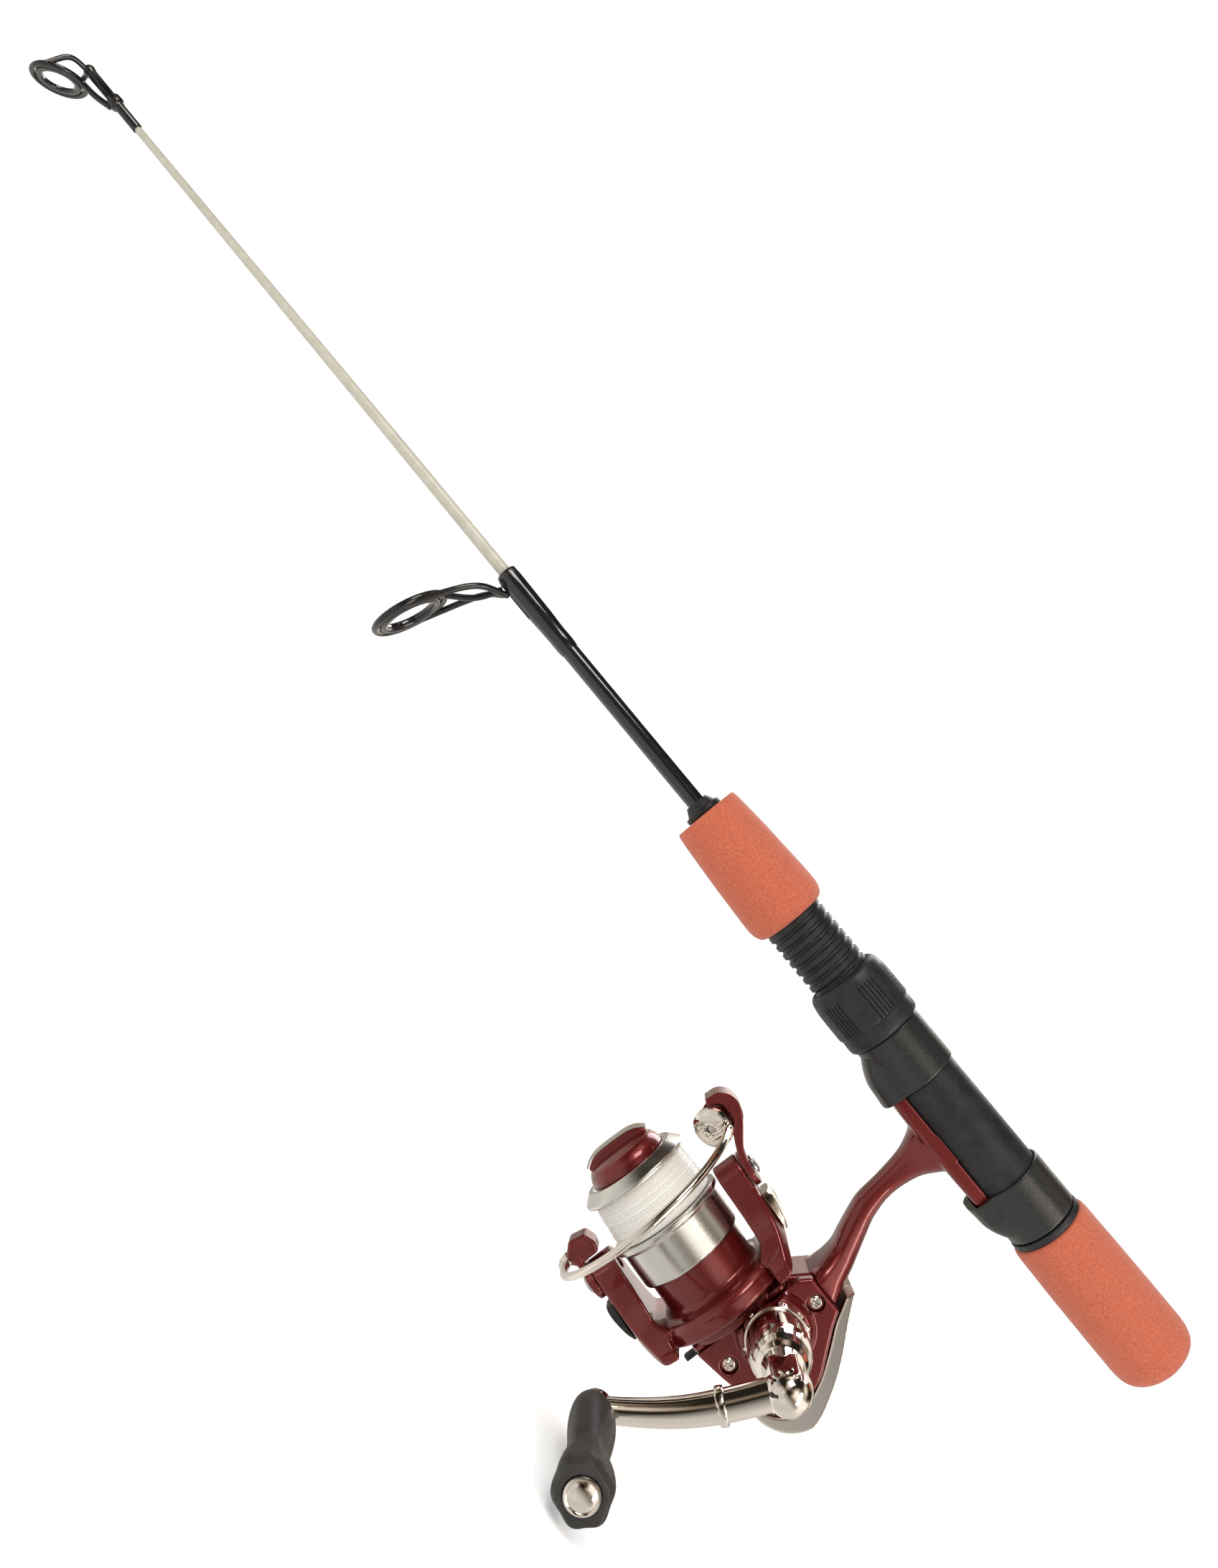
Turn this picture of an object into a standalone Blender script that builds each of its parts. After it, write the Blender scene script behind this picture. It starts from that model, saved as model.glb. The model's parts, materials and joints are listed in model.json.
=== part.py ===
"""A short fishing rod with a size-500 spinning reel, as separate solids.

Units are metres. The rod lies along X with its butt's flat end at the origin and its tip towards -X.
The reel hangs towards -Z and its crank is on the -Y side.
Four empties carry the groups: the rod axis, the spool axis, the bail's pivot axis and the crank axis.
Each has its local Z along its axis. Sizes below are in millimetres times MM.
"""

import math

import bmesh
import bpy
from mathutils import Matrix, Vector

MM = 0.001
GAP = 0.15 * MM  # running gap between neighbours that touch

# Rod blank. Places along the rod are X.
ROD_TIP_X = -459.0 * MM
BLANK_TIP_R = 1.05 * MM
BLANK_SPIGOT_R = 1.85 * MM
BLANK_BUTT_R = 2.55 * MM
WRAP_START_X = -268.0 * MM
WRAP_END_X = -240.0 * MM
WRAP_R = 3.3 * MM
TIP_TUBE_R = 1.4 * MM
TIP_TUBE_LENGTH = 23.0 * MM

# Guides
TIP_RING_R = 8.0 * MM
TIP_RING_DROP = 8.4 * MM
TIP_RING_TILT = math.radians(39.5)
STRIPPER_RING_R = 11.5 * MM
STRIPPER_DROP = 27.5 * MM
STRIPPER_LEAN = math.radians(11.0)
GUIDE_WIRE_R = 0.75 * MM

# Grips and reel seat
REAR_GRIP_LENGTH = 43.8 * MM
REAR_GRIP_R = 11.2 * MM
SEAT_LENGTH = 100.4 * MM
SEAT_R = 9.0 * MM
THREAD_R = SEAT_R - 0.5 * MM
THREAD_LENGTH = 53.2 * MM
FIXED_HOOD_LENGTH = 14.7 * MM
MOVABLE_HOOD_LENGTH = 15.2 * MM
NUT_LENGTH = 17.9 * MM
NUT_R = 11.15 * MM
FORE_GRIP_LENGTH = 36.1 * MM
FORE_GRIP_R = 11.25 * MM
CHECK_LENGTH = 4.0 * MM

# Reel foot
FOOT_LENGTH = 48.0 * MM
FOOT_HALF_WIDTH = 6.0 * MM
FOOT_MID_X = -76.6 * MM
FOOT_BOTTOM_Z = -SEAT_R - 2.4 * MM

# Reel axes
CRANK_X = -70.3 * MM
CRANK_Z = -70.5 * MM
SPOOL_DROP = 7.2 * MM  # the spool axis passes this far under the crank axis
SPOOL_TILT = math.radians(3.03)
BAIL_PIVOT_S = 34.0 * MM

# Housing
BODY_HALF_WIDTH = 10.0 * MM
BODY_WALL = 2.0 * MM
BODY_FRONT_S = 8.2 * MM
NOSE_R = 14.2 * MM
NOSE_FRONT_S = 11.6 * MM
COVER_THICKNESS = 3.8 * MM

# Main shaft and spool, along the spool axis from under the crank axis
SHAFT_R = 1.2 * MM
SHAFT_START_S = -15.5 * MM
SHAFT_END_S = 56.0 * MM
SKIRT_R = 14.8 * MM
SKIRT_WALL = 0.85 * MM
SKIRT_REAR_S = 25.5 * MM
DRUM_REAR_S = 37.6 * MM
DRUM_FRONT_S = 50.0 * MM
DRUM_R = 10.0 * MM
LIP_R = 15.5 * MM
LINE_R = 14.3 * MM
DRAG_WELL_R = 9.6 * MM
DRAG_WELL_FLOOR_S = 46.0 * MM
DRAG_KNOB_R = 11.0 * MM
DRAG_KNOB_BASE_S = 52.7 * MM
WASHER_THICKNESS = 0.8 * MM
SPOOL_STROKE = 9.0 * MM

# Rotor and bail
ROTOR_ARM_IN = 16.9 * MM
ROTOR_ARM_OUT = 24.0 * MM
ROTOR_REAR_S = 9.2 * MM
ROTOR_BASE_R = 18.8 * MM
ROTOR_CUP_R = 13.4 * MM
ARM_TIP_R = 5.2 * MM
ARM_ROOT_HALF = 14.6 * MM
BAIL_WIRE_R = 1.05 * MM
BAIL_PLATE = 2.0 * MM
ARM_SWELL = 1.7 * MM
WIRE_PLATE_R = 5.5 * MM
ROLLER_R = 3.6 * MM
ROLLER_HALF = 2.5 * MM
ROLLER_S = 48.6 * MM
ROLLER_OUT = 25.9 * MM
ROLLER_TILT = math.radians(30.0)

# Gears
GEAR_TEETH = 36
PINION_TEETH = 7
GEAR_R = 8.5 * MM
PINION_R = 2.6 * MM
IDLER_TEETH = 12
OSCILLATION_TEETH = 18
IDLER_R = 4.0 * MM
OSCILLATION_R = 6.0 * MM
RATCHET_TEETH = 12
RATCHET_R = 5.4 * MM
RATCHET_S = 8.7 * MM

# Crank
CRANK_RADIUS = 43.7 * MM
CRANK_SHAFT_R = 2.5 * MM
STUD_RING_R = 8.5 * MM
COLLAR_R = 7.8 * MM
ELBOW_OUT = 46.0 * MM  # the arm's plane, out from the spool's plane
ARM_R = 3.7 * MM
ARM_END_R = 2.9 * MM
SLEEVE_AT = 15.2 * MM
KNOB_LENGTH = 38.0 * MM
KNOB_CAP_R = 3.9 * MM
KNOB_SHANK_R = 2.0 * MM


# How many flat sides a round piece has
ROUND_LARGE = 24
ROUND = 20
ROUND_SMALL = 14
ROUND_PIN = 10


# ---------------------------------------------------------------- helpers


def clear_scene():
    for obj in list(bpy.data.objects):
        bpy.data.objects.remove(obj, do_unlink=True)


def material(name, colour, roughness, metallic=0.0):
    made = bpy.data.materials.new(name)
    made.use_nodes = True
    shader = made.node_tree.nodes["Principled BSDF"]
    shader.inputs["Base Color"].default_value = (*colour, 1.0)
    shader.inputs["Roughness"].default_value = roughness
    shader.inputs["Metallic"].default_value = metallic
    made.diffuse_color = (*colour, 1.0)
    return made


def axis_empty(name, matrix, parent=None):
    """An empty whose local Z lies along an axis of the object."""
    made = bpy.data.objects.new(name, None)
    bpy.context.scene.collection.objects.link(made)
    made.empty_display_size = 10 * MM
    made.parent = parent
    made.matrix_world = matrix
    return made


def basis(origin, x, y, z):
    """The matrix whose columns are these axes, at this origin."""
    turned_to = Matrix((x, y, z)).transposed().to_4x4()
    return Matrix.Translation(origin) @ turned_to


def add(name, bm, frame, look, place=None, smooth=35):
    """Makes an object of a bmesh drawn in the frame's own axes."""
    bmesh.ops.remove_doubles(bm, verts=bm.verts, dist=1e-7)
    bmesh.ops.recalc_face_normals(bm, faces=bm.faces)
    mesh = bpy.data.meshes.new(name)
    bm.to_mesh(mesh)
    bm.free()
    mesh.materials.append(look)
    mesh.shade_smooth()
    mesh.set_sharp_from_angle(angle=math.radians(smooth))
    made = bpy.data.objects.new(name, mesh)
    bpy.context.scene.collection.objects.link(made)
    made.parent = frame
    if place is not None:
        made.matrix_basis = place
    return made


def helper(obj):
    """Marks an object as a cutter or a piece to be joined, which isn't a node."""
    obj.hide_render = True
    obj.display_type = "WIRE"
    return obj


def boolean(obj, operation, others):
    for other in others:
        helper(other)
        step = obj.modifiers.new(f"{operation.lower()}_{other.name}", "BOOLEAN")
        step.operation = operation
        step.object = other
        step.solver = "EXACT"
    return obj


def cut(obj, *others):
    return boolean(obj, "DIFFERENCE", others)


def join(obj, *others):
    return boolean(obj, "UNION", others)


def shared(obj, *others):
    return boolean(obj, "INTERSECT", others)


def turned(name, profile, frame, look, sides=ROUND, place=None):
    """Spins a (radius, height) outline round the frame's Z. An outline that ends where it began is a ring."""
    bm = bmesh.new()
    verts = [bm.verts.new((r, 0, h)) for r, h in profile]
    edges = [bm.edges.new(pair) for pair in zip(verts, verts[1:])]
    bmesh.ops.spin(
        bm,
        geom=verts + edges,
        cent=(0, 0, 0),
        axis=(0, 0, 1),
        dvec=(0, 0, 0),
        angle=2 * math.pi,
        steps=sides,
        use_merge=True,
    )
    return add(name, bm, frame, look, place)


def ring(name, inner, outer, low, high, frame, look, sides=ROUND, place=None, bevel=0.0):
    """A turned ring with a rectangular section, its outer edges bevelled."""
    profile = [(inner, low), (outer - bevel, low), (outer, low + bevel), (outer, high - bevel)]
    profile += [(outer - bevel, high), (inner, high), (inner, low)]
    if bevel == 0.0:
        profile = [(inner, low), (outer, low), (outer, high), (inner, high), (inner, low)]
    return turned(name, profile, frame, look, sides, place)


def rod_disc(name, radius, low, high, frame, look, sides=ROUND, place=None, bevel=0.0):
    """A turned solid cylinder, its edges bevelled."""
    profile = [(0, low), (radius - bevel, low), (radius, low + bevel), (radius, high - bevel)]
    profile += [(radius - bevel, high), (0, high)]
    if bevel == 0.0:
        profile = [(0, low), (radius, low), (radius, high), (0, high)]
    return turned(name, profile, frame, look, sides, place)


def rounded(points, radius, steps=4):
    """The outline with each corner turned into an arc of this radius, or as much of it as fits."""
    outline = []
    count = len(points)
    radii = radius if isinstance(radius, (list, tuple)) else [radius] * count
    for i, corner in enumerate(points):
        here = Vector(corner)
        before = Vector(points[i - 1]) - here
        after = Vector(points[(i + 1) % count]) - here
        half = before.angle(after) / 2
        reach = radii[i] / math.tan(half) if radii[i] else 0.0
        reach = min(reach, 0.48 * before.length, 0.48 * after.length)
        if reach < 1e-6:
            outline.append(tuple(here))
            continue
        start = here + before.normalized() * reach
        end = here + after.normalized() * reach
        for k in range(steps + 1):
            t = k / steps
            outline.append(tuple((1 - t) ** 2 * start + 2 * t * (1 - t) * here + t * t * end))
    return outline


def area(points):
    return 0.5 * sum(
        a[0] * b[1] - b[0] * a[1] for a, b in zip(points, points[1:] + points[:1])
    )


def offset(points, distance, closed=True):
    """The outline moved outwards (or, with a negative distance, inwards). Outlines run anticlockwise."""
    moved = []
    count = len(points)
    for i, point in enumerate(points):
        here = Vector(point)
        before = Vector(points[i - 1]) if closed or i > 0 else None
        after = Vector(points[(i + 1) % count]) if closed or i < count - 1 else None
        into = (here - before).normalized() if before is not None else None
        out = (after - here).normalized() if after is not None else None
        into = out if into is None else into
        out = into if out is None else out
        along = (into + out).normalized()
        normal = Vector((along.y, -along.x))
        stretch = 1 / max(0.5, math.cos(into.angle(out) / 2))
        moved.append(tuple(here + normal * distance * stretch))
    return moved


def loft(name, rings, frame, look, place=None, smooth=35, capped=True):
    """Joins rings of equally many points, one after another, and caps both ends."""
    bm = bmesh.new()
    rows = [[bm.verts.new(p) for p in ring_points] for ring_points in rings]
    for low, high in zip(rows, rows[1:]):
        for i in range(len(low)):
            j = (i + 1) % len(low)
            bm.faces.new((low[i], low[j], high[j], high[i]))
    if capped:
        bm.faces.new(rows[0][::-1])
        bm.faces.new(rows[-1])
    else:
        for i in range(len(rows[0])):
            j = (i + 1) % len(rows[0])
            bm.faces.new((rows[-1][i], rows[-1][j], rows[0][j], rows[0][i]))
    return add(name, bm, frame, look, place, smooth)


def shrunk(corners, radii, inset, steps=3):
    """The outline moved inwards, its corners then rounded by what is left of their radii."""
    moved = offset(corners, -inset) if inset else corners
    left = [max(0.3 * MM, r - inset) if r else 0.0 for r in radii]
    return rounded(moved, left, steps)


def plate(name, corners, low, high, frame, look, radii=0.0, bevel=0.0, place=None, steps=3):
    """Extrudes an outline with rounded corners along the frame's Z, with its edges bevelled."""
    radii = list(radii) if isinstance(radii, (list, tuple)) else [radii] * len(corners)
    if area(corners) < 0:
        corners, radii = corners[::-1], radii[::-1]
    outline = shrunk(corners, radii, 0.0, steps)
    levels = [(outline, low), (outline, high)]
    if bevel:
        inner = shrunk(corners, radii, bevel, steps)
        levels = [(inner, low), (outline, low + bevel), (outline, high - bevel), (inner, high)]
    rings = [[(x, y, z) for x, y in points] for points, z in levels]
    return loft(name, rings, frame, look, place)


def box(name, low, high, frame, look, place=None):
    outline = [(low[0], low[1]), (high[0], low[1]), (high[0], high[1]), (low[0], high[1])]
    return plate(name, outline, low[2], high[2], frame, look, place=place)


def smooth_path(points, steps=4):
    """Points on a Catmull-Rom curve through the given ones."""
    vectors = [Vector(p) for p in points]
    ends = [2 * vectors[0] - vectors[1], *vectors, 2 * vectors[-1] - vectors[-2]]
    path = []
    for a, b, c, d in zip(ends, ends[1:], ends[2:], ends[3:]):
        for k in range(steps):
            t = k / steps
            path.append(
                0.5 * (2 * b + (c - a) * t + (2 * a - 5 * b + 4 * c - d) * t**2)
                + 0.5 * (3 * b - a - 3 * c + d) * t**3
            )
    return [*path, vectors[-1]]


def wire(name, points, radii, frame, look, sides=6, place=None):
    """A round bar along a path; radii is one value, or one for each point."""
    path = [Vector(p) for p in points]
    if not isinstance(radii, (list, tuple)):
        radii = [radii] * len(path)
    tangents = [
        (path[min(i + 1, len(path) - 1)] - path[max(i - 1, 0)]).normalized()
        for i in range(len(path))
    ]
    side = tangents[0].orthogonal().normalized()
    rings = []
    for point, tangent, radius in zip(path, tangents, radii):
        side = (side - tangent * side.dot(tangent)).normalized()
        up = tangent.cross(side)
        rings.append(
            [
                point
                + side * radius * math.cos(2 * math.pi * k / sides)
                + up * radius * math.sin(2 * math.pi * k / sides)
                for k in range(sides)
            ]
        )
    return loft(name, rings, frame, look, place)


def hoop(name, radius, thickness, frame, look, place, sides=ROUND, section=6):
    """A round wire bent into a closed ring about the placed Z axis."""
    profile = [
        (
            radius + thickness * math.cos(2 * math.pi * k / section),
            thickness * math.sin(2 * math.pi * k / section),
        )
        for k in range(section)
    ]
    return turned(name, profile + profile[:1], frame, look, sides, place)


def gear_outline(teeth, tip, root, phase=0.0):
    """A toothed outline with flat tips, four points to a tooth."""
    points = []
    for i in range(teeth):
        for share, radius in ((-0.30, root), (-0.14, tip), (0.14, tip), (0.30, root)):
            turn = 2 * math.pi * (i + share + phase) / teeth
            points.append((radius * math.cos(turn), radius * math.sin(turn)))
    return points


def squarish(half_x, half_y, power, count=16):
    """An ellipse whose sides are flatter the smaller the power is; 1 makes a plain ellipse."""
    points = []
    for k in range(count):
        turn = 2 * math.pi * k / count
        x, y = math.cos(turn), math.sin(turn)
        x = math.copysign(abs(x) ** power, x)
        y = math.copysign(abs(y) ** power, y)
        points.append((half_x * x, half_y * y))
    return points


def at(x=0.0, y=0.0, z=0.0):
    return Matrix.Translation((x, y, z))


def towards(origin, direction):
    """The placing whose Z points along a direction."""
    return Matrix.Translation(origin) @ Vector(direction).to_track_quat("Z", "Y").to_matrix().to_4x4()


# ---------------------------------------------------------------- looks and axes

clear_scene()

WHITE_GLASS = material("white_glass", (0.57, 0.50, 0.40), 0.45)
BLACK_GLOSS = material("black_gloss", (0.02, 0.02, 0.022), 0.18)
BLACK_SATIN = material("black_satin", (0.03, 0.03, 0.032), 0.4)
BLACK_METAL = material("black_metal", (0.02, 0.02, 0.02), 0.3, 0.6)
FOAM = material("orange_foam", (0.56, 0.10, 0.05), 0.9)
RED_METALLIC = material("red_metallic", (0.14, 0.012, 0.012), 0.25, 0.5)
CHROME = material("chrome", (0.75, 0.73, 0.70), 0.06, 1.0)
SILVER = material("brushed_silver", (0.62, 0.62, 0.60), 0.25, 1.0)
STEEL = material("steel", (0.55, 0.55, 0.56), 0.3, 1.0)
BRASS = material("brass", (0.72, 0.52, 0.25), 0.3, 1.0)
ZINC = material("zinc_alloy", (0.5, 0.5, 0.5), 0.4, 1.0)
KNOB_PLASTIC = material("knob_plastic", (0.045, 0.042, 0.04), 0.5)
LINE = material("nylon_line", (0.75, 0.70, 0.62), 0.3)
FELT = material("drag_felt", (0.12, 0.10, 0.08), 0.9)
CORK = material("arbor_foam", (0.55, 0.45, 0.3), 0.9)

SPOOL_FORWARD = Vector((-math.cos(SPOOL_TILT), 0, math.sin(SPOOL_TILT)))
SPOOL_UP = Vector((math.sin(SPOOL_TILT), 0, math.cos(SPOOL_TILT)))
SIDEWAYS = Vector((0, 1, 0))
CRANK_CENTRE = Vector((CRANK_X, 0, CRANK_Z))
SPOOL_ORIGIN = CRANK_CENTRE - SPOOL_UP * SPOOL_DROP
ARM_DIRECTION = Vector((-0.546, 0, -0.838)).normalized()

# Rod frame: Z towards the butt, X down, Y as the object's Y.
ROD = axis_empty("rod_axis", basis((0, 0, 0), (0, 0, -1), (0, 1, 0), (1, 0, 0)))
# Spool frame: Z forward, X towards the rod, Y as the object's Y.
SPOOL = axis_empty("spool_axis", basis(SPOOL_ORIGIN, SPOOL_UP, SIDEWAYS, SPOOL_FORWARD))
# Side frame: X and Y are the object's X and Z, and Z points at the crank's side.
SIDE = axis_empty("side_axis", basis((0, 0, 0), (1, 0, 0), (0, 0, 1), (0, -1, 0)))
# Crank frame: Z outwards along the crank shaft, X along the arm.
CRANK_ACROSS = Vector((0, -1, 0)).cross(ARM_DIRECTION)
CRANK = axis_empty("crank_axis", basis(CRANK_CENTRE, ARM_DIRECTION, CRANK_ACROSS, (0, -1, 0)))
# Bail frame: as the spool's, with its origin where the pivot line crosses the spool axis.
BAIL_ORIGIN = SPOOL_ORIGIN + SPOOL_FORWARD * BAIL_PIVOT_S
BAIL = axis_empty("bail_pivot", basis(BAIL_ORIGIN, SPOOL_UP, SIDEWAYS, SPOOL_FORWARD))


def spool_to_world(up, forward):
    """The object's X and Z of a point in the spool's mid plane."""
    point = SPOOL_ORIGIN + SPOOL_UP * up + SPOOL_FORWARD * forward
    return point.x, point.z


# ---------------------------------------------------------------- rod


def blank():
    spigot_end = WRAP_END_X
    turned(
        "blank_tip",
        [
            (0, ROD_TIP_X + 1.5 * MM),
            (BLANK_TIP_R - 0.1 * MM, ROD_TIP_X + 1.5 * MM),
            (BLANK_TIP_R - 0.1 * MM, ROD_TIP_X + TIP_TUBE_LENGTH),
            (BLANK_TIP_R, ROD_TIP_X + TIP_TUBE_LENGTH + 0.2 * MM),
            (BLANK_SPIGOT_R, WRAP_START_X),
            (BLANK_SPIGOT_R, spigot_end),
            (0, spigot_end),
        ],
        ROD,
        WHITE_GLASS,
        sides=ROUND_PIN,
    )
    ring(
        "blank_butt",
        BLANK_SPIGOT_R + GAP,
        BLANK_BUTT_R,
        WRAP_START_X + 3 * MM,
        -8 * MM,
        ROD,
        BLACK_GLOSS,
        sides=ROUND_SMALL,
    )


def guide_wrap():
    """The glossy sleeve over the joint, with a slot for the guide's foot under it."""
    bore = BLANK_BUTT_R + GAP
    length = WRAP_END_X - WRAP_START_X
    profile = [(bore, WRAP_START_X)]
    for share, radius in ((0.02, 0.9), (0.12, 1.0), (0.5, 0.93), (0.9, 0.86), (1.0, 0.84)):
        profile.append((WRAP_R * radius, WRAP_START_X + share * length))
    profile += [(bore, WRAP_END_X), (bore, WRAP_START_X)]
    sleeve = turned("guide_wrap", profile, ROD, BLACK_GLOSS, sides=20)
    slot = box(
        "wrap_slot",
        (bore - 1 * MM, -1.2 * MM, WRAP_START_X - 1 * MM),
        (WRAP_R + 1 * MM, 1.2 * MM, WRAP_START_X + 17 * MM),
        ROD,
        BLACK_GLOSS,
    )
    cut(sleeve, slot)


def tip_top():
    """The end guide: a tube on the blank, a ring that leans forward under it, and its wires."""
    bulb = ROD_TIP_X
    bore = BLANK_TIP_R - 0.1 * MM + 0.12 * MM
    rear = bulb + TIP_TUBE_LENGTH
    tube = turned(
        "tip_top_frame",
        [
            (0, bulb - 1.6 * MM),
            (1.1 * MM, bulb - 1.3 * MM),
            (1.7 * MM, bulb - 0.2 * MM),
            (1.5 * MM, bulb + 0.9 * MM),
            (TIP_TUBE_R, bulb + 1.4 * MM),
            (TIP_TUBE_R, rear - 12.5 * MM),
            (TIP_TUBE_R + 0.7 * MM, rear - 11.5 * MM),
            (TIP_TUBE_R + 0.7 * MM, rear - 9.5 * MM),
            (TIP_TUBE_R, rear - 8.8 * MM),
            (TIP_TUBE_R, rear),
            (bore, rear),
            (bore, bulb + 1.2 * MM),
            (0, bulb + 1.2 * MM),
        ],
        ROD,
        BLACK_METAL,
        sides=ROUND_PIN,
    )
    # The ring lies in a plane that holds Y and leans, its lower edge forward.
    centre = Vector((TIP_RING_DROP, 0, bulb - 4 * MM))
    across = Vector((math.sin(TIP_RING_TILT), 0, -math.cos(TIP_RING_TILT)))
    normal = across.cross(Vector((0, 1, 0)))
    seat = towards(centre, normal)
    outer = hoop("tip_frame_ring", TIP_RING_R - 0.8 * MM, 0.8 * MM, ROD, BLACK_METAL, seat, 20)
    collar = Vector((TIP_TUBE_R + 0.6 * MM, 0, rear - 10.5 * MM))
    near_edge = centre - across * (TIP_RING_R - 0.8 * MM)
    leg = wire(
        "tip_leg",
        [collar, near_edge.lerp(collar, 0.5) + Vector((0.4 * MM, 0, 0)), near_edge],
        [0.8 * MM, 0.9 * MM, 0.95 * MM],
        ROD,
        BLACK_METAL,
    )
    forks = []
    for hand in (-1, 1):
        end = centre + Vector((0, hand, 0)) * (TIP_RING_R - 0.5 * MM)
        knee = Vector((2.0 * MM, hand * 4.4 * MM, bulb - 3.4 * MM))
        forks.append(
            wire(
                f"tip_fork_{'near' if hand < 0 else 'far'}",
                [(0.2 * MM, 0, bulb + 0.2 * MM), knee, end],
                GUIDE_WIRE_R,
                ROD,
                BLACK_METAL,
                sides=6,
            )
        )
    join(tube, outer, leg, *forks)
    ring(
        "tip_top_ring",
        TIP_RING_R - 3.6 * MM,
        TIP_RING_R - 1.75 * MM,
        -0.8 * MM,
        0.8 * MM,
        ROD,
        BLACK_GLOSS,
        20,
        seat,
        0.3 * MM,
    )


def stripper_guide():
    """The large guide near the handle, on two wire legs from a foot under the wrap."""
    foot_x = WRAP_START_X + 14 * MM
    hold = BLANK_BUTT_R + GAP
    down = Vector((math.cos(STRIPPER_LEAN), 0, -math.sin(STRIPPER_LEAN)))
    centre = Vector((STRIPPER_DROP, 0, WRAP_START_X - 8.4 * MM))
    normal = down.cross(Vector((0, 1, 0)))
    seat = towards(centre, normal)
    middle = STRIPPER_RING_R - 1.0 * MM
    outer = hoop(
        "stripper_guide_frame", middle, 1.0 * MM, ROD, BLACK_METAL, seat
    )
    foot = box(
        "stripper_foot",
        (hold + 0.15 * MM, -1.0 * MM, WRAP_START_X + 2 * MM),
        (hold + 1.2 * MM, 1.0 * MM, foot_x),
        ROD,
        BLACK_METAL,
    )
    root = Vector((hold + 0.9 * MM, 0, WRAP_START_X + 3 * MM))
    top = centre - down * middle
    front = wire(
        "stripper_leg_front",
        smooth_path([root, root.lerp(top, 0.45) + Vector((1 * MM, 0, 1.2 * MM)), top], 2),
        0.9 * MM,
        ROD,
        BLACK_METAL,
        sides=6,
    )
    braces = []
    for hand in (-1, 1):
        side_point = centre + Vector((0, hand, 0)) * middle
        knee = Vector((hold + 7 * MM, hand * 6.5 * MM, WRAP_START_X - 1.5 * MM))
        braces.append(
            wire(
                f"stripper_leg_{'near' if hand < 0 else 'far'}",
                smooth_path([root + Vector((0, 0, 2 * MM)), knee, side_point], 2),
                0.9 * MM,
                ROD,
                BLACK_METAL,
                sides=6,
            )
        )
    join(outer, foot, front, *braces)
    ring(
        "stripper_guide_ring",
        STRIPPER_RING_R - 4.6 * MM,
        STRIPPER_RING_R - 2.15 * MM,
        -1.3 * MM,
        1.3 * MM,
        ROD,
        BLACK_GLOSS,
        ROUND,
        seat,
        0.5 * MM,
    )


REAR_GRIP_X = -REAR_GRIP_LENGTH
TRIM_RING_X = REAR_GRIP_X - 2.0 * MM
FIXED_HOOD_X = TRIM_RING_X - FIXED_HOOD_LENGTH
SEAT_START_X = TRIM_RING_X - SEAT_LENGTH
SHOULDER_X = SEAT_START_X + THREAD_LENGTH
MOVABLE_HOOD_X = SHOULDER_X - MOVABLE_HOOD_LENGTH
NUT_X = MOVABLE_HOOD_X - 0.3 * MM - NUT_LENGTH
FORE_GRIP_X = SEAT_START_X - FORE_GRIP_LENGTH
HOOD_BORE = THREAD_R + 0.2 * MM


def grips():
    bore = BLANK_BUTT_R + GAP
    low, high = FORE_GRIP_X, SEAT_START_X - GAP
    turned(
        "fore_grip",
        [
            (bore, low),
            (9.2 * MM, low),
            (9.8 * MM, low + 1.2 * MM),
            (10.7 * MM, low + 18 * MM),
            (FORE_GRIP_R, high - 7 * MM),
            (FORE_GRIP_R - 0.5 * MM, high - 1.5 * MM),
            (FORE_GRIP_R - 2.2 * MM, high),
            (bore, high),
            (bore, low),
        ],
        ROD,
        FOAM,
        sides=ROUND,
    )
    low = REAR_GRIP_X
    turned(
        "rear_grip",
        [
            (bore, low),
            (REAR_GRIP_R - 0.9 * MM, low),
            (REAR_GRIP_R - 0.4 * MM, low + 1.0 * MM),
            (REAR_GRIP_R, -18 * MM),
            (REAR_GRIP_R, -4.5 * MM),
            (REAR_GRIP_R - 1.0 * MM, -1.6 * MM),
            (REAR_GRIP_R - 3.6 * MM, 0),
            (0, 0),
            (0, -7 * MM),
            (bore, -7 * MM),
            (bore, low),
        ],
        ROD,
        FOAM,
        sides=ROUND,
    )
    ring("hood_trim_ring", bore, 10.2 * MM, TRIM_RING_X + GAP, REAR_GRIP_X - GAP, ROD, BLACK_SATIN)
    turned(
        "winding_check",
        [
            (bore, FORE_GRIP_X - CHECK_LENGTH),
            (bore + 0.5 * MM, FORE_GRIP_X - CHECK_LENGTH),
            (4.4 * MM, FORE_GRIP_X - 1.6 * MM),
            (5.35 * MM, FORE_GRIP_X - 1.4 * MM),
            (5.35 * MM, FORE_GRIP_X - GAP),
            (bore, FORE_GRIP_X - GAP),
            (bore, FORE_GRIP_X - CHECK_LENGTH),
        ],
        ROD,
        BLACK_SATIN,
        sides=ROUND_SMALL,
    )


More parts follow.
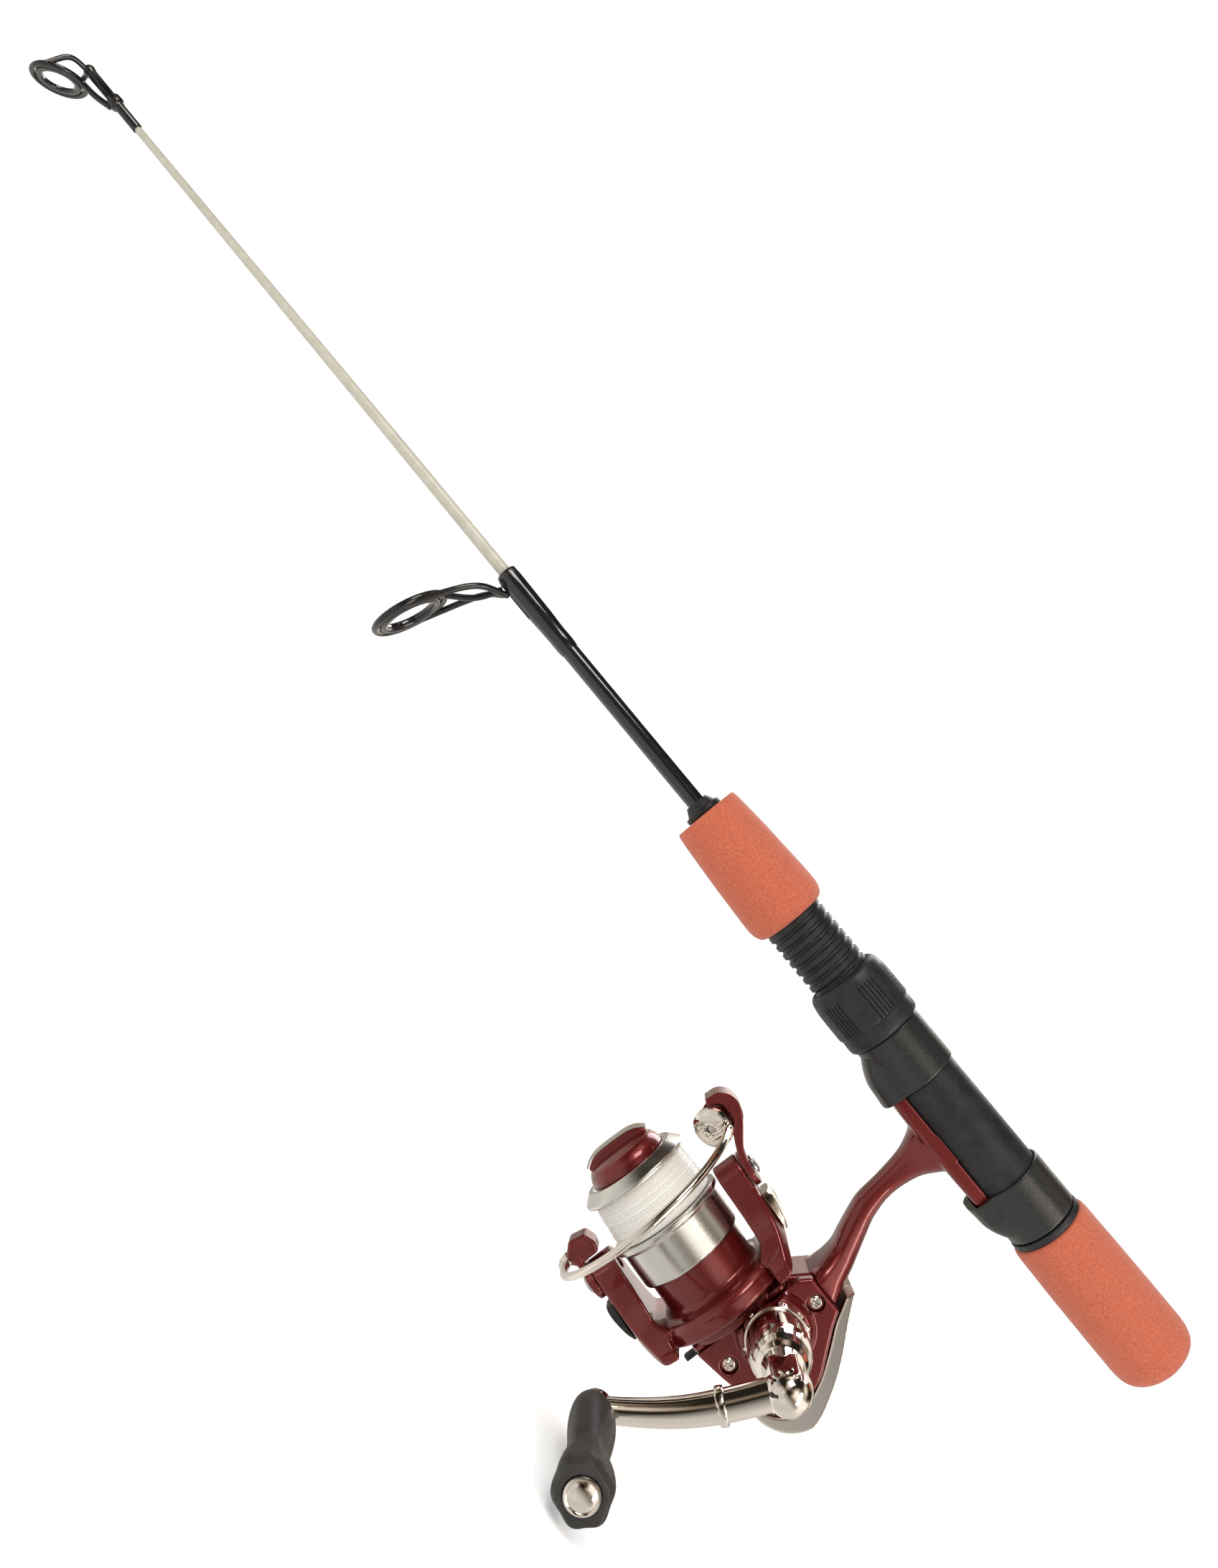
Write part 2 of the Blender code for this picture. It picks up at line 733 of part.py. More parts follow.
def reel_seat():
    """The threaded tube, the arbor inside it and the two hoods."""
    arbor_r = SEAT_R - 2.4 * MM
    seat_bore = arbor_r + GAP
    turned(
        "seat_tube",
        [
            (seat_bore, SEAT_START_X),
            (THREAD_R - 0.4 * MM, SEAT_START_X),
            (THREAD_R, SEAT_START_X + 0.8 * MM),
            (THREAD_R, SHOULDER_X - GAP),
            (SEAT_R, SHOULDER_X + GAP),
            (SEAT_R, TRIM_RING_X - GAP),
            (seat_bore, TRIM_RING_X - GAP),
            (seat_bore, SEAT_START_X),
        ],
        ROD,
        BLACK_SATIN,
        sides=ROUND,
    )
    ring(
        "seat_arbor",
        BLANK_BUTT_R + GAP,
        arbor_r,
        SEAT_START_X + 2 * MM,
        TRIM_RING_X - 2 * MM,
        ROD,
        CORK,
        ROUND_SMALL,
    )
    nut_high = NUT_X + NUT_LENGTH
    turned(
        "hood_nut",
        [
            (HOOD_BORE, NUT_X),
            (NUT_R - 1.6 * MM, NUT_X),
            (NUT_R - 0.3 * MM, NUT_X + 1.6 * MM),
            (NUT_R, NUT_X + 3.4 * MM),
            (NUT_R, nut_high - 4.2 * MM),
            (NUT_R - 0.5 * MM, nut_high - 3.8 * MM),
            (NUT_R - 0.3 * MM, nut_high - 0.4 * MM),
            (NUT_R - 0.7 * MM, nut_high),
            (HOOD_BORE, nut_high),
            (HOOD_BORE, NUT_X),
        ],
        ROD,
        BLACK_SATIN,
        sides=ROUND,
    )
    hood("movable_hood", MOVABLE_HOOD_X, MOVABLE_HOOD_LENGTH - GAP, HOOD_BORE, 1, HOOD_BORE + 0.95 * MM)
    hood("fixed_hood", FIXED_HOOD_X, FIXED_HOOD_LENGTH - GAP, SEAT_R + GAP, -1, SEAT_R + 1.0 * MM)


def hood(name, start, length, bore, mouth, outer):
    """A hood ring with a pocket for the reel's foot. mouth is +1 where the pocket opens rearwards."""
    end = start + length
    sleeve = rod_disc(name, outer, start, end, ROD, BLACK_SATIN, ROUND, None, 0.4 * MM)
    closed_end, open_end = (start, end) if mouth > 0 else (end, start)
    # The pocket's wall swells from the closed end to its mouth, then flares slightly.
    bulge_rows = []
    centre = SEAT_R - 5.0 * MM
    for share, drop, half in (
        (0.06, 0.0, 5.0),
        (0.30, 2.2, 6.4),
        (0.55, 3.7, 7.2),
        (0.80, 4.1, 7.3),
        (0.99, 4.4, 7.5),
    ):
        x = closed_end + (open_end - closed_end) * share
        reach = SEAT_R + drop * MM - centre
        bulge_rows.append([(centre + d, a, x) for d, a in squarish(reach, half * MM, 0.6)])
    bulge = loft(f"{name}_bulge", bulge_rows, ROD, BLACK_SATIN)
    room = foot_solid(f"{name}_pocket", 0.35 * MM)
    reach_past = 1.0 * MM
    bore_cutter = rod_disc(
        f"{name}_bore", bore, start - reach_past, end + reach_past, ROD, BLACK_SATIN
    )
    join(sleeve, bulge)
    cut(sleeve, bore_cutter, room)


def foot_solid(name, grow=0.0):
    """The reel foot: a bar with round ends under the seat, tapering in thickness to both ends."""
    half = FOOT_LENGTH / 2 + grow
    top = SEAT_R - 5.0 * MM
    rows = []
    for share in (-1.0, -0.9, -0.6, -0.2, 0.2, 0.6, 0.9, 1.0):
        taper = 1 - abs(share) ** 3 * 0.45
        width = (FOOT_HALF_WIDTH + grow) * math.sqrt(max(0.12, 1 - abs(share) ** 6 * 0.8))
        low = -FOOT_BOTTOM_Z - SEAT_R
        depth = SEAT_R + low * taper + grow
        x = FOOT_MID_X + share * half
        corner = min(1.2 * MM, 0.3 * width)
        section = rounded(
            [(top, -width), (depth, -width), (depth, width), (top, width)],
            [0, corner, corner, 0],
            2,
        )
        rows.append([(down, across, x) for down, across in section])
    return loft(name, rows, ROD, RED_METALLIC)


# ---------------------------------------------------------------- reel housing


def body_corners():
    """The gear case seen from the side in the object's X and Z, with the radius of each corner."""
    corners = [
        spool_to_world(16.5 * MM, BODY_FRONT_S),
        spool_to_world(-13.2 * MM, BODY_FRONT_S),
        (-68.5 * MM, -88.6 * MM),
        (-56.0 * MM, -85.8 * MM),
        (-50.4 * MM, -79.0 * MM),
        (-53.6 * MM, -69.0 * MM),
        (-61.4 * MM, -58.6 * MM),
        (-66.2 * MM, -50.6 * MM),
        (-73.2 * MM, -53.6 * MM),
    ]
    radii = [2.0, 2.5, 9.0, 8.0, 8.0, 14.0, 14.0, 3.0, 4.0]
    return corners, [r * MM for r in radii]


SEAM_Z = -54.8 * MM


def below(outline, level):
    """The part of an outline under a level, such as the seam between the side cover and the stem."""
    kept = []
    for here, after in zip(outline, outline[1:] + outline[:1]):
        if here[1] <= level:
            kept.append(here)
        if (here[1] <= level) != (after[1] <= level):
            share = (level - here[1]) / (after[1] - here[1])
            kept.append((here[0] + share * (after[0] - here[0]), level))
    return kept


def housing():
    """The case, the nose inside the rotor, the stem and the foot, hollow and open towards the side cover."""
    corners, radii = body_corners()
    far, joint = -BODY_HALF_WIDTH, BODY_HALF_WIDTH - COVER_THICKNESS
    case = plate(
        "reel_housing", corners, far, joint, SIDE, RED_METALLIC, radii, bevel=1.2 * MM
    )
    front = plate(
        "front_wall",
        [
            (16.1 * MM, -BODY_HALF_WIDTH + 0.3 * MM),
            (16.1 * MM, BODY_HALF_WIDTH - 0.3 * MM),
            (-12.9 * MM, BODY_HALF_WIDTH - 0.3 * MM),
            (-12.9 * MM, -BODY_HALF_WIDTH + 0.3 * MM),
        ],
        BODY_FRONT_S - BODY_WALL + 0.3 * MM,
        BODY_FRONT_S - 0.1 * MM,
        SPOOL,
        RED_METALLIC,
        radii=2.4 * MM,
    )
    nose = rod_disc(
        "nose", NOSE_R, BODY_FRONT_S - 1.2 * MM, NOSE_FRONT_S, SPOOL, RED_METALLIC,
        ROUND_LARGE, None, 0.6 * MM,
    )
    stem = stem_solid()
    foot = foot_solid("foot")
    join(case, front, nose, stem, foot)
    posts = [
        rod_disc(
            f"screw_post_{end}", 2.2 * MM, far + 1.0 * MM, joint - 0.3 * MM, SIDE, RED_METALLIC, 12,
            at(*place),
        )
        for end, place in SCREW_PLACES.items()
    ]
    saddle = rod_disc("saddle", SEAT_R + 0.3 * MM, -110 * MM, -40 * MM, ROD, RED_METALLIC)
    room = plate(
        "case_room", offset(corners, -BODY_WALL), far + 2.2 * MM, joint + 1 * MM, SIDE,
        RED_METALLIC, radii=[max(0.5 * MM, r - BODY_WALL) for r in radii],
    )
    nose_room = rod_disc(
        "nose_room", NOSE_R - 1.4 * MM, BODY_FRONT_S - 0.2 * MM, NOSE_FRONT_S - 1.8 * MM, SPOOL,
        RED_METALLIC, ROUND_LARGE,
    )
    passage = box(
        "passage",
        (-12.7 * MM, -6.0 * MM, BODY_FRONT_S - 3.5 * MM),
        (7.5 * MM, 6.0 * MM, BODY_FRONT_S + 0.5 * MM),
        SPOOL,
        RED_METALLIC,
    )
    bearing_bore = rod_disc(
        "bearing_bore", 4.5 * MM + GAP, NOSE_FRONT_S - 3 * MM, NOSE_FRONT_S + 2 * MM, SPOOL,
        RED_METALLIC, ROUND_SMALL,
    )
    gear_room = rod_disc(
        "gear_room", GEAR_R + 0.6 * MM, -5.7 * MM, -1.8 * MM, CRANK, RED_METALLIC, ROUND_LARGE
    )
    bush_bore = rod_disc("far_bush_bore", 4.0 * MM + GAP, far - 2 * MM, 0, CRANK, RED_METALLIC, ROUND_SMALL)
    lever_slot = box(
        "lever_slot",
        (-19 * MM, -4.2 * MM, 2.8 * MM),
        (-8.5 * MM, 4.2 * MM, 5.6 * MM),
        SPOOL,
        RED_METALLIC,
    )
    cut(case, saddle, room)
    join(case, *posts)
    cut(case, nose_room, passage, gear_room, bearing_bore, bush_bore, lever_slot)
    for end, place in SCREW_PLACES.items():
        cut(
            case,
            rod_disc(
                f"post_hole_{end}", 1.0 * MM, far + 3 * MM, joint + 2 * MM, SIDE, RED_METALLIC, 10,
                at(*place),
            ),
        )
    side_cover(joint)
    rear_trim()


def stem_solid():
    """The stem: rounded sections from the top of the case up to the foot, leaning forward."""
    rows = []
    for front_x, rear_x, level, half, roundness in (
        (-74.2, -64.0, -54.65, 9.5, 0.5),
        (-74.3, -65.3, -52.2, 8.9, 0.55),
        (-74.6, -66.2, -49.6, 7.8, 0.65),
        (-75.4, -67.4, -46.0, 6.3, 0.75),
        (-77.0, -69.0, -42.5, 5.2, 0.8),
        (-79.0, -71.5, -37.5, 4.3, 0.8),
        (-80.4, -73.6, -33.0, 3.9, 0.8),
        (-81.0, -75.1, -26.0, 3.6, 0.8),
        (-82.2, -74.2, -18.0, 4.0, 0.8),
        (-84.2, -71.8, -13.0, 5.0, 0.8),
        (-86.0, -70.2, FOOT_BOTTOM_Z / MM + 0.8, 5.6, 0.8),
    ):
        middle = (front_x + rear_x) / 2 * MM
        reach = (rear_x - front_x) / 2 * MM
        section = squarish(reach, half * MM, roundness, 12)
        rows.append([(middle + along, level * MM, across) for along, across in section])
    return loft("stem", rows, SIDE, RED_METALLIC)


SCREW_PLACES = {"top": (-68.8 * MM, -58.1 * MM), "front": (-70.6 * MM, -85.2 * MM)}


def side_cover(joint):
    """The cover on the crank's side, with the boss that carries the crank's near bush."""
    corners, radii = body_corners()
    outer = BODY_HALF_WIDTH
    cover = plate(
        "side_cover", below(shrunk(corners, radii, 0.0), SEAM_Z), joint + GAP, outer, SIDE,
        RED_METALLIC, bevel=0.9 * MM,
    )
    boss = turned(
        "cover_boss",
        [
            (0, joint + 1 * MM),
            (10.2 * MM, joint + 1 * MM),
            (10.2 * MM, outer + 0.2 * MM),
            (9.4 * MM, outer + 2.4 * MM),
            (8.6 * MM, outer + 3.4 * MM),
            (0, outer + 3.4 * MM),
        ],
        CRANK,
        RED_METALLIC,
    )
    join(cover, boss)
    inner = below(shrunk(corners, radii, BODY_WALL + 0.5 * MM), SEAM_Z - BODY_WALL)
    room = plate("cover_room", inner, joint - 1 * MM, outer - 1.8 * MM, SIDE, RED_METALLIC)
    bore = rod_disc("near_bush_bore", 4.0 * MM + GAP, 0, 30 * MM, CRANK, RED_METALLIC, ROUND_SMALL)
    # The case's own front wall stands in front of the cover.
    front_cut = box(
        "cover_front_cut",
        (-40 * MM, -40 * MM, BODY_FRONT_S - BODY_WALL + 0.1 * MM),
        (40 * MM, 40 * MM, 40 * MM),
        SPOOL,
        RED_METALLIC,
    )
    cut(cover, room)
    posts, wells = [], []
    for end, place in SCREW_PLACES.items():
        posts.append(
            rod_disc(
                f"cover_post_{end}", 3.1 * MM, joint + 0.4 * MM, outer - 1.0 * MM, SIDE,
                RED_METALLIC, ROUND_PIN, at(*place),
            )
        )
        wells.append(
            turned(
                f"screw_well_{end}",
                [
                    (0, joint - 3 * MM),
                    (1.25 * MM, joint - 3 * MM),
                    (1.25 * MM, outer - 2.0 * MM),
                    (2.35 * MM, outer - 2.0 * MM),
                    (2.35 * MM, outer + 3 * MM),
                    (0, outer + 3 * MM),
                ],
                SIDE,
                RED_METALLIC,
                ROUND_PIN,
                at(*place),
            )
        )
        cover_screw(end, place, joint)
    join(cover, *posts)
    cut(cover, bore, front_cut, *wells)


def cover_screw(end, place, joint):
    """A cross-slotted screw, its head sunk in the cover."""
    outer = BODY_HALF_WIDTH
    screw = turned(
        f"cover_screw_{end}",
        [
            (0, joint - 8 * MM),
            (0.85 * MM, joint - 8 * MM),
            (0.85 * MM, outer - 1.8 * MM),
            (2.1 * MM, outer - 1.8 * MM),
            (2.1 * MM, outer - 1.0 * MM),
            (1.4 * MM, outer - 0.5 * MM),
            (0, outer - 0.4 * MM),
        ],
        SIDE,
        CHROME,
        12,
        at(*place),
    )
    slots = [
        box(
            f"screw_slot_{end}_{side}",
            (-1.2 * MM, -0.25 * MM, outer - 1.1 * MM),
            (1.2 * MM, 0.25 * MM, outer + 1 * MM),
            SIDE,
            CHROME,
            at(*place) @ Matrix.Rotation(turn, 4, "Z"),
        )
        for side, turn in (("a", 0.5), ("b", 0.5 + math.pi / 2))
    ]
    cut(screw, *slots)


def rear_trim():
    """The bright cover along the back of the case, thickest at its middle."""
    inner = [
        (-60.0, -87.3),
        (-55.2, -85.9),
        (-51.6, -82.9),
        (-50.0, -79.0),
        (-50.9, -74.8),
        (-53.5, -69.0),
        (-57.2, -63.4),
        (-61.6, -57.3),
        (-64.6, -51.4),
    ]
    outer = [
        (-60.6, -88.6),
        (-54.0, -88.2),
        (-48.6, -85.2),
        (-45.4, -80.0),
        (-45.9, -75.4),
        (-49.6, -67.6),
        (-54.2, -61.0),
        (-59.4, -54.8),
        (-64.2, -48.6),
    ]
    outline = [(x * MM, z * MM) for x, z in outer + inner[::-1]]
    half = BODY_HALF_WIDTH - 1.4 * MM
    plate("rear_trim", outline, -half, half, SIDE, CHROME, radii=0.4 * MM, bevel=0.35 * MM, steps=1)


# ---------------------------------------------------------------- reel drive


def drive():
    near = BODY_HALF_WIDTH + 3.4 * MM
    rod_disc(
        "crank_shaft", CRANK_SHAFT_R, -BODY_HALF_WIDTH - 0.6 * MM, near + 2.2 * MM, CRANK, STEEL, ROUND_PIN
    )
    bore = CRANK_SHAFT_R + 0.25 * MM
    ring("shaft_bush_near", bore, 4.0 * MM, near - 3.4 * MM, near - 0.4 * MM, CRANK, BRASS, ROUND_PIN)
    ring(
        "shaft_bush_far", bore, 4.0 * MM, -BODY_HALF_WIDTH + 0.3 * MM,
        -BODY_HALF_WIDTH + 2.1 * MM, CRANK, BRASS, ROUND_PIN,
    )
    cap_pocket = CRANK_SHAFT_R + 0.15 * MM
    turned(
        "far_side_cap",
        [
            (0, -BODY_HALF_WIDTH - 3.4 * MM),
            (3.2 * MM, -BODY_HALF_WIDTH - 3.0 * MM),
            (4.6 * MM, -BODY_HALF_WIDTH - 1.8 * MM),
            (4.8 * MM, -BODY_HALF_WIDTH - 0.3 * MM),
            (cap_pocket, -BODY_HALF_WIDTH - 0.3 * MM),
            (cap_pocket, -BODY_HALF_WIDTH - 1.0 * MM),
            (0, -BODY_HALF_WIDTH - 1.0 * MM),
        ],
        CRANK,
        CHROME,
        ROUND_SMALL,
    )
    # A face gear: its teeth point at the pinion and stop just clear of it. Its hub carries the idler.
    tooth_face = -PINION_R - 0.25 * MM
    idler_low = 3.7 * MM
    hub_r = 3.2 * MM
    rows = []
    for radius, tip_z, root_z in (
        (CRANK_SHAFT_R + 0.06 * MM, tooth_face - 2.3 * MM, tooth_face - 2.3 * MM),
        (GEAR_R, tooth_face - 2.3 * MM, tooth_face - 2.3 * MM),
        (GEAR_R, tooth_face, tooth_face - 0.8 * MM),
        (GEAR_R - 2.0 * MM, tooth_face - 0.1 * MM, tooth_face - 0.8 * MM),
        (CRANK_SHAFT_R + 0.06 * MM, tooth_face - 1.2 * MM, tooth_face - 1.2 * MM),
    ):
        row = []
        for i in range(2 * GEAR_TEETH):
            turn = math.pi * i / GEAR_TEETH
            height = tip_z if i % 2 == 0 else root_z
            row.append((radius * math.cos(turn), radius * math.sin(turn), height))
        rows.append(row)
    gear = loft("drive_gear", rows, CRANK, ZINC, capped=False)
    idler = plate(
        "idler", gear_outline(IDLER_TEETH, IDLER_R - 0.1 * MM, IDLER_R - 0.7 * MM), idler_low,
        idler_low + 1.5 * MM, CRANK, ZINC,
    )
    hub = rod_disc("gear_hub", hub_r, tooth_face - 1.8 * MM, idler_low + 0.7 * MM, CRANK, ZINC, 12)
    join(idler, hub)
    cut(idler, rod_disc("idler_bore", CRANK_SHAFT_R + 0.12 * MM, -9 * MM, 9 * MM, CRANK, ZINC, ROUND_PIN))
    join(gear, idler)
    oscillation(idler_low)
    pinion()


def oscillation(level):
    """The oscillation gear, its eccentric pin and the slider that carries the main shaft to and fro."""
    spacing = IDLER_R + OSCILLATION_R + 0.35 * MM
    back = math.sqrt(spacing**2 - SPOOL_DROP**2)
    # Placed in the spool frame: on the spool axis, behind the crank.
    place = Matrix(((1, 0, 0, 0), (0, 0, -1, 0), (0, 1, 0, -back), (0, 0, 0, 1)))
    gear = plate(
        "oscillation_gear",
        gear_outline(OSCILLATION_TEETH, OSCILLATION_R - 0.1 * MM, OSCILLATION_R - 0.7 * MM, 0.5),
        level,
        level + 1.5 * MM,
        SPOOL,
        ZINC,
        place=place,
    )
    slider_half = 2.6 * MM
    pin = rod_disc(
        "oscillation_pin", 1.0 * MM, slider_half + 0.35 * MM, level + 0.5 * MM, SPOOL, ZINC, 12,
        place @ at(0, -SPOOL_STROKE / 2, 0),
    )
    join(gear, pin)
    middle = -back - SPOOL_STROKE / 2
    slider = box(
        "oscillation_slider",
        (-3.5 * MM, -slider_half, middle - 2.2 * MM),
        (3.5 * MM, slider_half, middle + 2.2 * MM),
        SPOOL,
        ZINC,
    )
    groove = box(
        "slider_groove",
        (-5 * MM, -slider_half - 1 * MM, middle - 1.1 * MM),
        (5 * MM, -slider_half + 1.1 * MM, middle + 1.1 * MM),
        SPOOL,
        ZINC,
    )
    bore = rod_disc(
        "slider_bore", SHAFT_R + 0.1 * MM, middle - 4 * MM, middle + 4 * MM, SPOOL, ZINC, ROUND_PIN
    )
    cut(slider, groove, bore)


def pinion():
    """The pinion, its bearing in the nose and the anti-reverse ratchet on it."""
    bore = SHAFT_R + 0.12 * MM
    rows = []
    start, end = 0.4 * MM, 5.6 * MM
    for k in range(4):
        share = k / 3
        twist = 0.9 * share / PINION_TEETH * 2
        outline = gear_outline(PINION_TEETH, PINION_R, 1.9 * MM, twist)
        rows.append([(x, y, start + (end - start) * share) for x, y in outline])
    toothed = loft("pinion", rows, SPOOL, BRASS)
    sleeve = turned(
        "pinion_sleeve",
        [
            (0, end - 0.2 * MM),
            (2.9 * MM, end - 0.2 * MM),
            (2.9 * MM, end + 1.4 * MM),
            (2.3 * MM, end + 1.4 * MM),
            (2.3 * MM, 20.5 * MM),
            (0, 20.5 * MM),
        ],
        SPOOL,
        BRASS,
        ROUND_SMALL,
    )
    hole = rod_disc("pinion_bore", bore, -2 * MM, 23 * MM, SPOOL, BRASS, ROUND_PIN)
    join(toothed, sleeve)
    cut(toothed, hole)
    ring(
        "pinion_bearing", 2.3 * MM + 0.15 * MM, 4.5 * MM, NOSE_FRONT_S - 1.8 * MM,
        NOSE_FRONT_S - 0.1 * MM, SPOOL, STEEL, ROUND_SMALL,
    )
    ratchet = plate(
        "anti_reverse_ratchet",
        [
            (
                (RATCHET_R if k % 2 else RATCHET_R - 1.2 * MM) * math.cos(turn),
                (RATCHET_R if k % 2 else RATCHET_R - 1.2 * MM) * math.sin(turn),
            )
            for k in range(2 * RATCHET_TEETH)
            for turn in [2 * math.pi * (k + (0.8 if k % 2 else 0)) / (2 * RATCHET_TEETH)]
        ],
        RATCHET_S,
        RATCHET_S + 0.9 * MM,
        SPOOL,
        STEEL,
    )
    ratchet_bore = rod_disc(
        "ratchet_bore", 2.3 * MM + 0.05 * MM, 5 * MM, 10 * MM, SPOOL, STEEL, ROUND_SMALL
    )
    cut(ratchet, ratchet_bore)
    lever_axis = -10.2 * MM
    ring(
        "anti_reverse_pawl", 0.95 * MM, 2.0 * MM, RATCHET_S, RATCHET_S + 0.9 * MM, SPOOL, STEEL,
        ROUND_PIN, at(lever_axis),
    )
    lever = rod_disc(
        "anti_reverse_lever", 0.75 * MM, 3.4 * MM, 9.6 * MM, SPOOL, BLACK_SATIN, 8, at(lever_axis)
    )
    tab = plate(
        "lever_tab",
        [(1.1 * MM, -1.1 * MM), (1.1 * MM, 1.1 * MM), (-7.4 * MM, 1.4 * MM), (-7.4 * MM, -1.4 * MM)],
        3.6 * MM,
        4.9 * MM,
        SPOOL,
        BLACK_SATIN,
        radii=0.6 * MM,
        place=at(lever_axis),
        steps=2,
    )
    join(lever, tab)


# ---------------------------------------------------------------- rotor and bail


def rotor():
    """The cup and base that turn on the pinion, and the two arms that carry the bail."""
    base_front = NOSE_FRONT_S + 1.0 * MM
    pin_bore = 2.3 * MM + 0.05 * MM
    recess = NOSE_R + 0.6 * MM
    cup = turned(
        "rotor",
        [
            (pin_bore, base_front),
            (recess, base_front),
            (recess, ROTOR_REAR_S),
            (recess + 1.0 * MM, ROTOR_REAR_S),
            (ROTOR_BASE_R, ROTOR_REAR_S + 1.6 * MM),
            (ROTOR_BASE_R, base_front + 1.6 * MM),
            (ROTOR_BASE_R - 1.2 * MM, base_front + 3.2 * MM),
            (ROTOR_CUP_R + 1.2 * MM, base_front + 3.6 * MM),
            (ROTOR_CUP_R, base_front + 4.6 * MM),
            (ROTOR_CUP_R, 33 * MM),
            (ROTOR_CUP_R - 0.9 * MM, 33 * MM),
            (ROTOR_CUP_R - 0.9 * MM, base_front + 2.0 * MM),
            (6 * MM, base_front + 2.0 * MM),
            (6 * MM, base_front + 4.2 * MM),
            (pin_bore, base_front + 4.2 * MM),
            (pin_bore, base_front),
        ],
        SPOOL,
        RED_METALLIC,
        ROUND_LARGE,
    )
    out, inn = ROTOR_ARM_OUT, ROTOR_ARM_IN
    turning_room = rod_disc(
        "turning_room", out + 0.6 * MM, 0, 50 * MM, SPOOL, RED_METALLIC, ROUND_LARGE
    )
    top = BAIL_PIVOT_S + ARM_TIP_R
    low = ROTOR_REAR_S + 0.1 * MM
    for hand, end in ((1, "upper"), (-1, "lower")):
        # Side view of one arm in (towards the rod, forward), then the front view as seen along the pivot.
        side_points = [
            (15.6 * MM, low),
            (20.3 * MM, low + 0.4 * MM),
            (out, low + 8.0 * MM),
            (out, top + 1 * MM),
            (inn, top + 1 * MM),
            (inn, base_front + 6.2 * MM),
            (14.2 * MM, base_front + 3.0 * MM),
            (15.6 * MM, base_front + 1.4 * MM),
        ]
        arm = plate(
            f"arm_{end}", [(hand * up, forward) for up, forward in side_points],
            -ARM_ROOT_HALF - 1 * MM, ARM_ROOT_HALF + 1 * MM, SPOOL, RED_METALLIC,
            radii=[0, 6 * MM, 6 * MM, 0, 0, 2.5 * MM, 0, 0],
            place=Matrix.Rotation(math.pi / 2, 4, "X"),
        )
        edge = [
            (ARM_ROOT_HALF, low - 1 * MM),
            (ARM_ROOT_HALF - 0.6 * MM, 12.5 * MM),
            (11.8 * MM, 16 * MM),
            (8.8 * MM, 20 * MM),
            (6.7 * MM, 25 * MM),
            (ARM_TIP_R + 0.3 * MM, 30 * MM),
        ]
        outline = list(edge)
        for k in range(9):
            turn = math.pi * k / 8
            outline.append(
                (ARM_TIP_R * math.cos(turn), BAIL_PIVOT_S + ARM_TIP_R * math.sin(turn))
            )
        outline += [(-across, forward) for across, forward in edge[::-1]]
        # The front view lies in the spool frame's Y and Z, extruded along X.
        face_on = Matrix(((0, 0, 1, 0), (1, 0, 0, 0), (0, 1, 0, 0), (0, 0, 0, 1)))
        view = plate(
            f"arm_view_{end}", outline, min(hand * 12 * MM, hand * 30 * MM),
            max(hand * 12 * MM, hand * 30 * MM), SPOOL, RED_METALLIC, place=face_on,
        )
        shared(arm, view, turning_room)
        pivot = rod_disc(
            f"pivot_hole_{end}", 1.5 * MM, -30 * MM, 30 * MM, BAIL, RED_METALLIC, ROUND_PIN,
            Matrix.Rotation(math.pi / 2, 4, "Y"),
        )
        cut(arm, pivot)
        join(cup, arm)
        arm_cover(end, hand)
    nut = rod_disc(
        "rotor_nut", 4.6 * MM, base_front + 4.4 * MM, base_front + 6.9 * MM, SPOOL, BRASS, 6
    )
    cut(nut, rod_disc("nut_bore", pin_bore, 10 * MM, 30 * MM, SPOOL, BRASS, ROUND_SMALL))


def arm_cover(end, hand):
    """The bright cover on an arm's outer face, behind the bail's pivot."""
    low, high = ROTOR_REAR_S + 7.6 * MM, BAIL_PIVOT_S - 6.6 * MM
    inner = ROTOR_ARM_OUT + GAP
    rows = []
    for share, rise, half in (
        (0.0, 0.6, 4.6),
        (0.25, 1.5, 5.6),
        (0.6, 2.4, 5.2),
        (0.85, 2.6, 4.7),
        (1.0, 2.2, 4.2),
    ):
        s = low + (high - low) * share
        section = [(0, -half), (rise * 0.75, -half * 0.92), (rise, -half * 0.5)]
        section += [(rise, half * 0.5), (rise * 0.75, half * 0.92), (0, half)]
        rows.append([(hand * (inner + up * MM), across * MM, s) for up, across in section])
    if hand < 0:
        rows = [row[::-1] for row in rows]
    loft(f"arm_cover_{end}", rows, SPOOL, CHROME if hand > 0 else BLACK_SATIN)


ROLLER_AXIS = Vector((math.sin(ROLLER_TILT), math.cos(ROLLER_TILT), 0))


def roller_point(along):
    """A point on the line roller's axis in the bail frame."""
    middle = Vector((ROLLER_OUT, -1.6 * MM, ROLLER_S - BAIL_PIVOT_S))
    return middle + ROLLER_AXIS * along


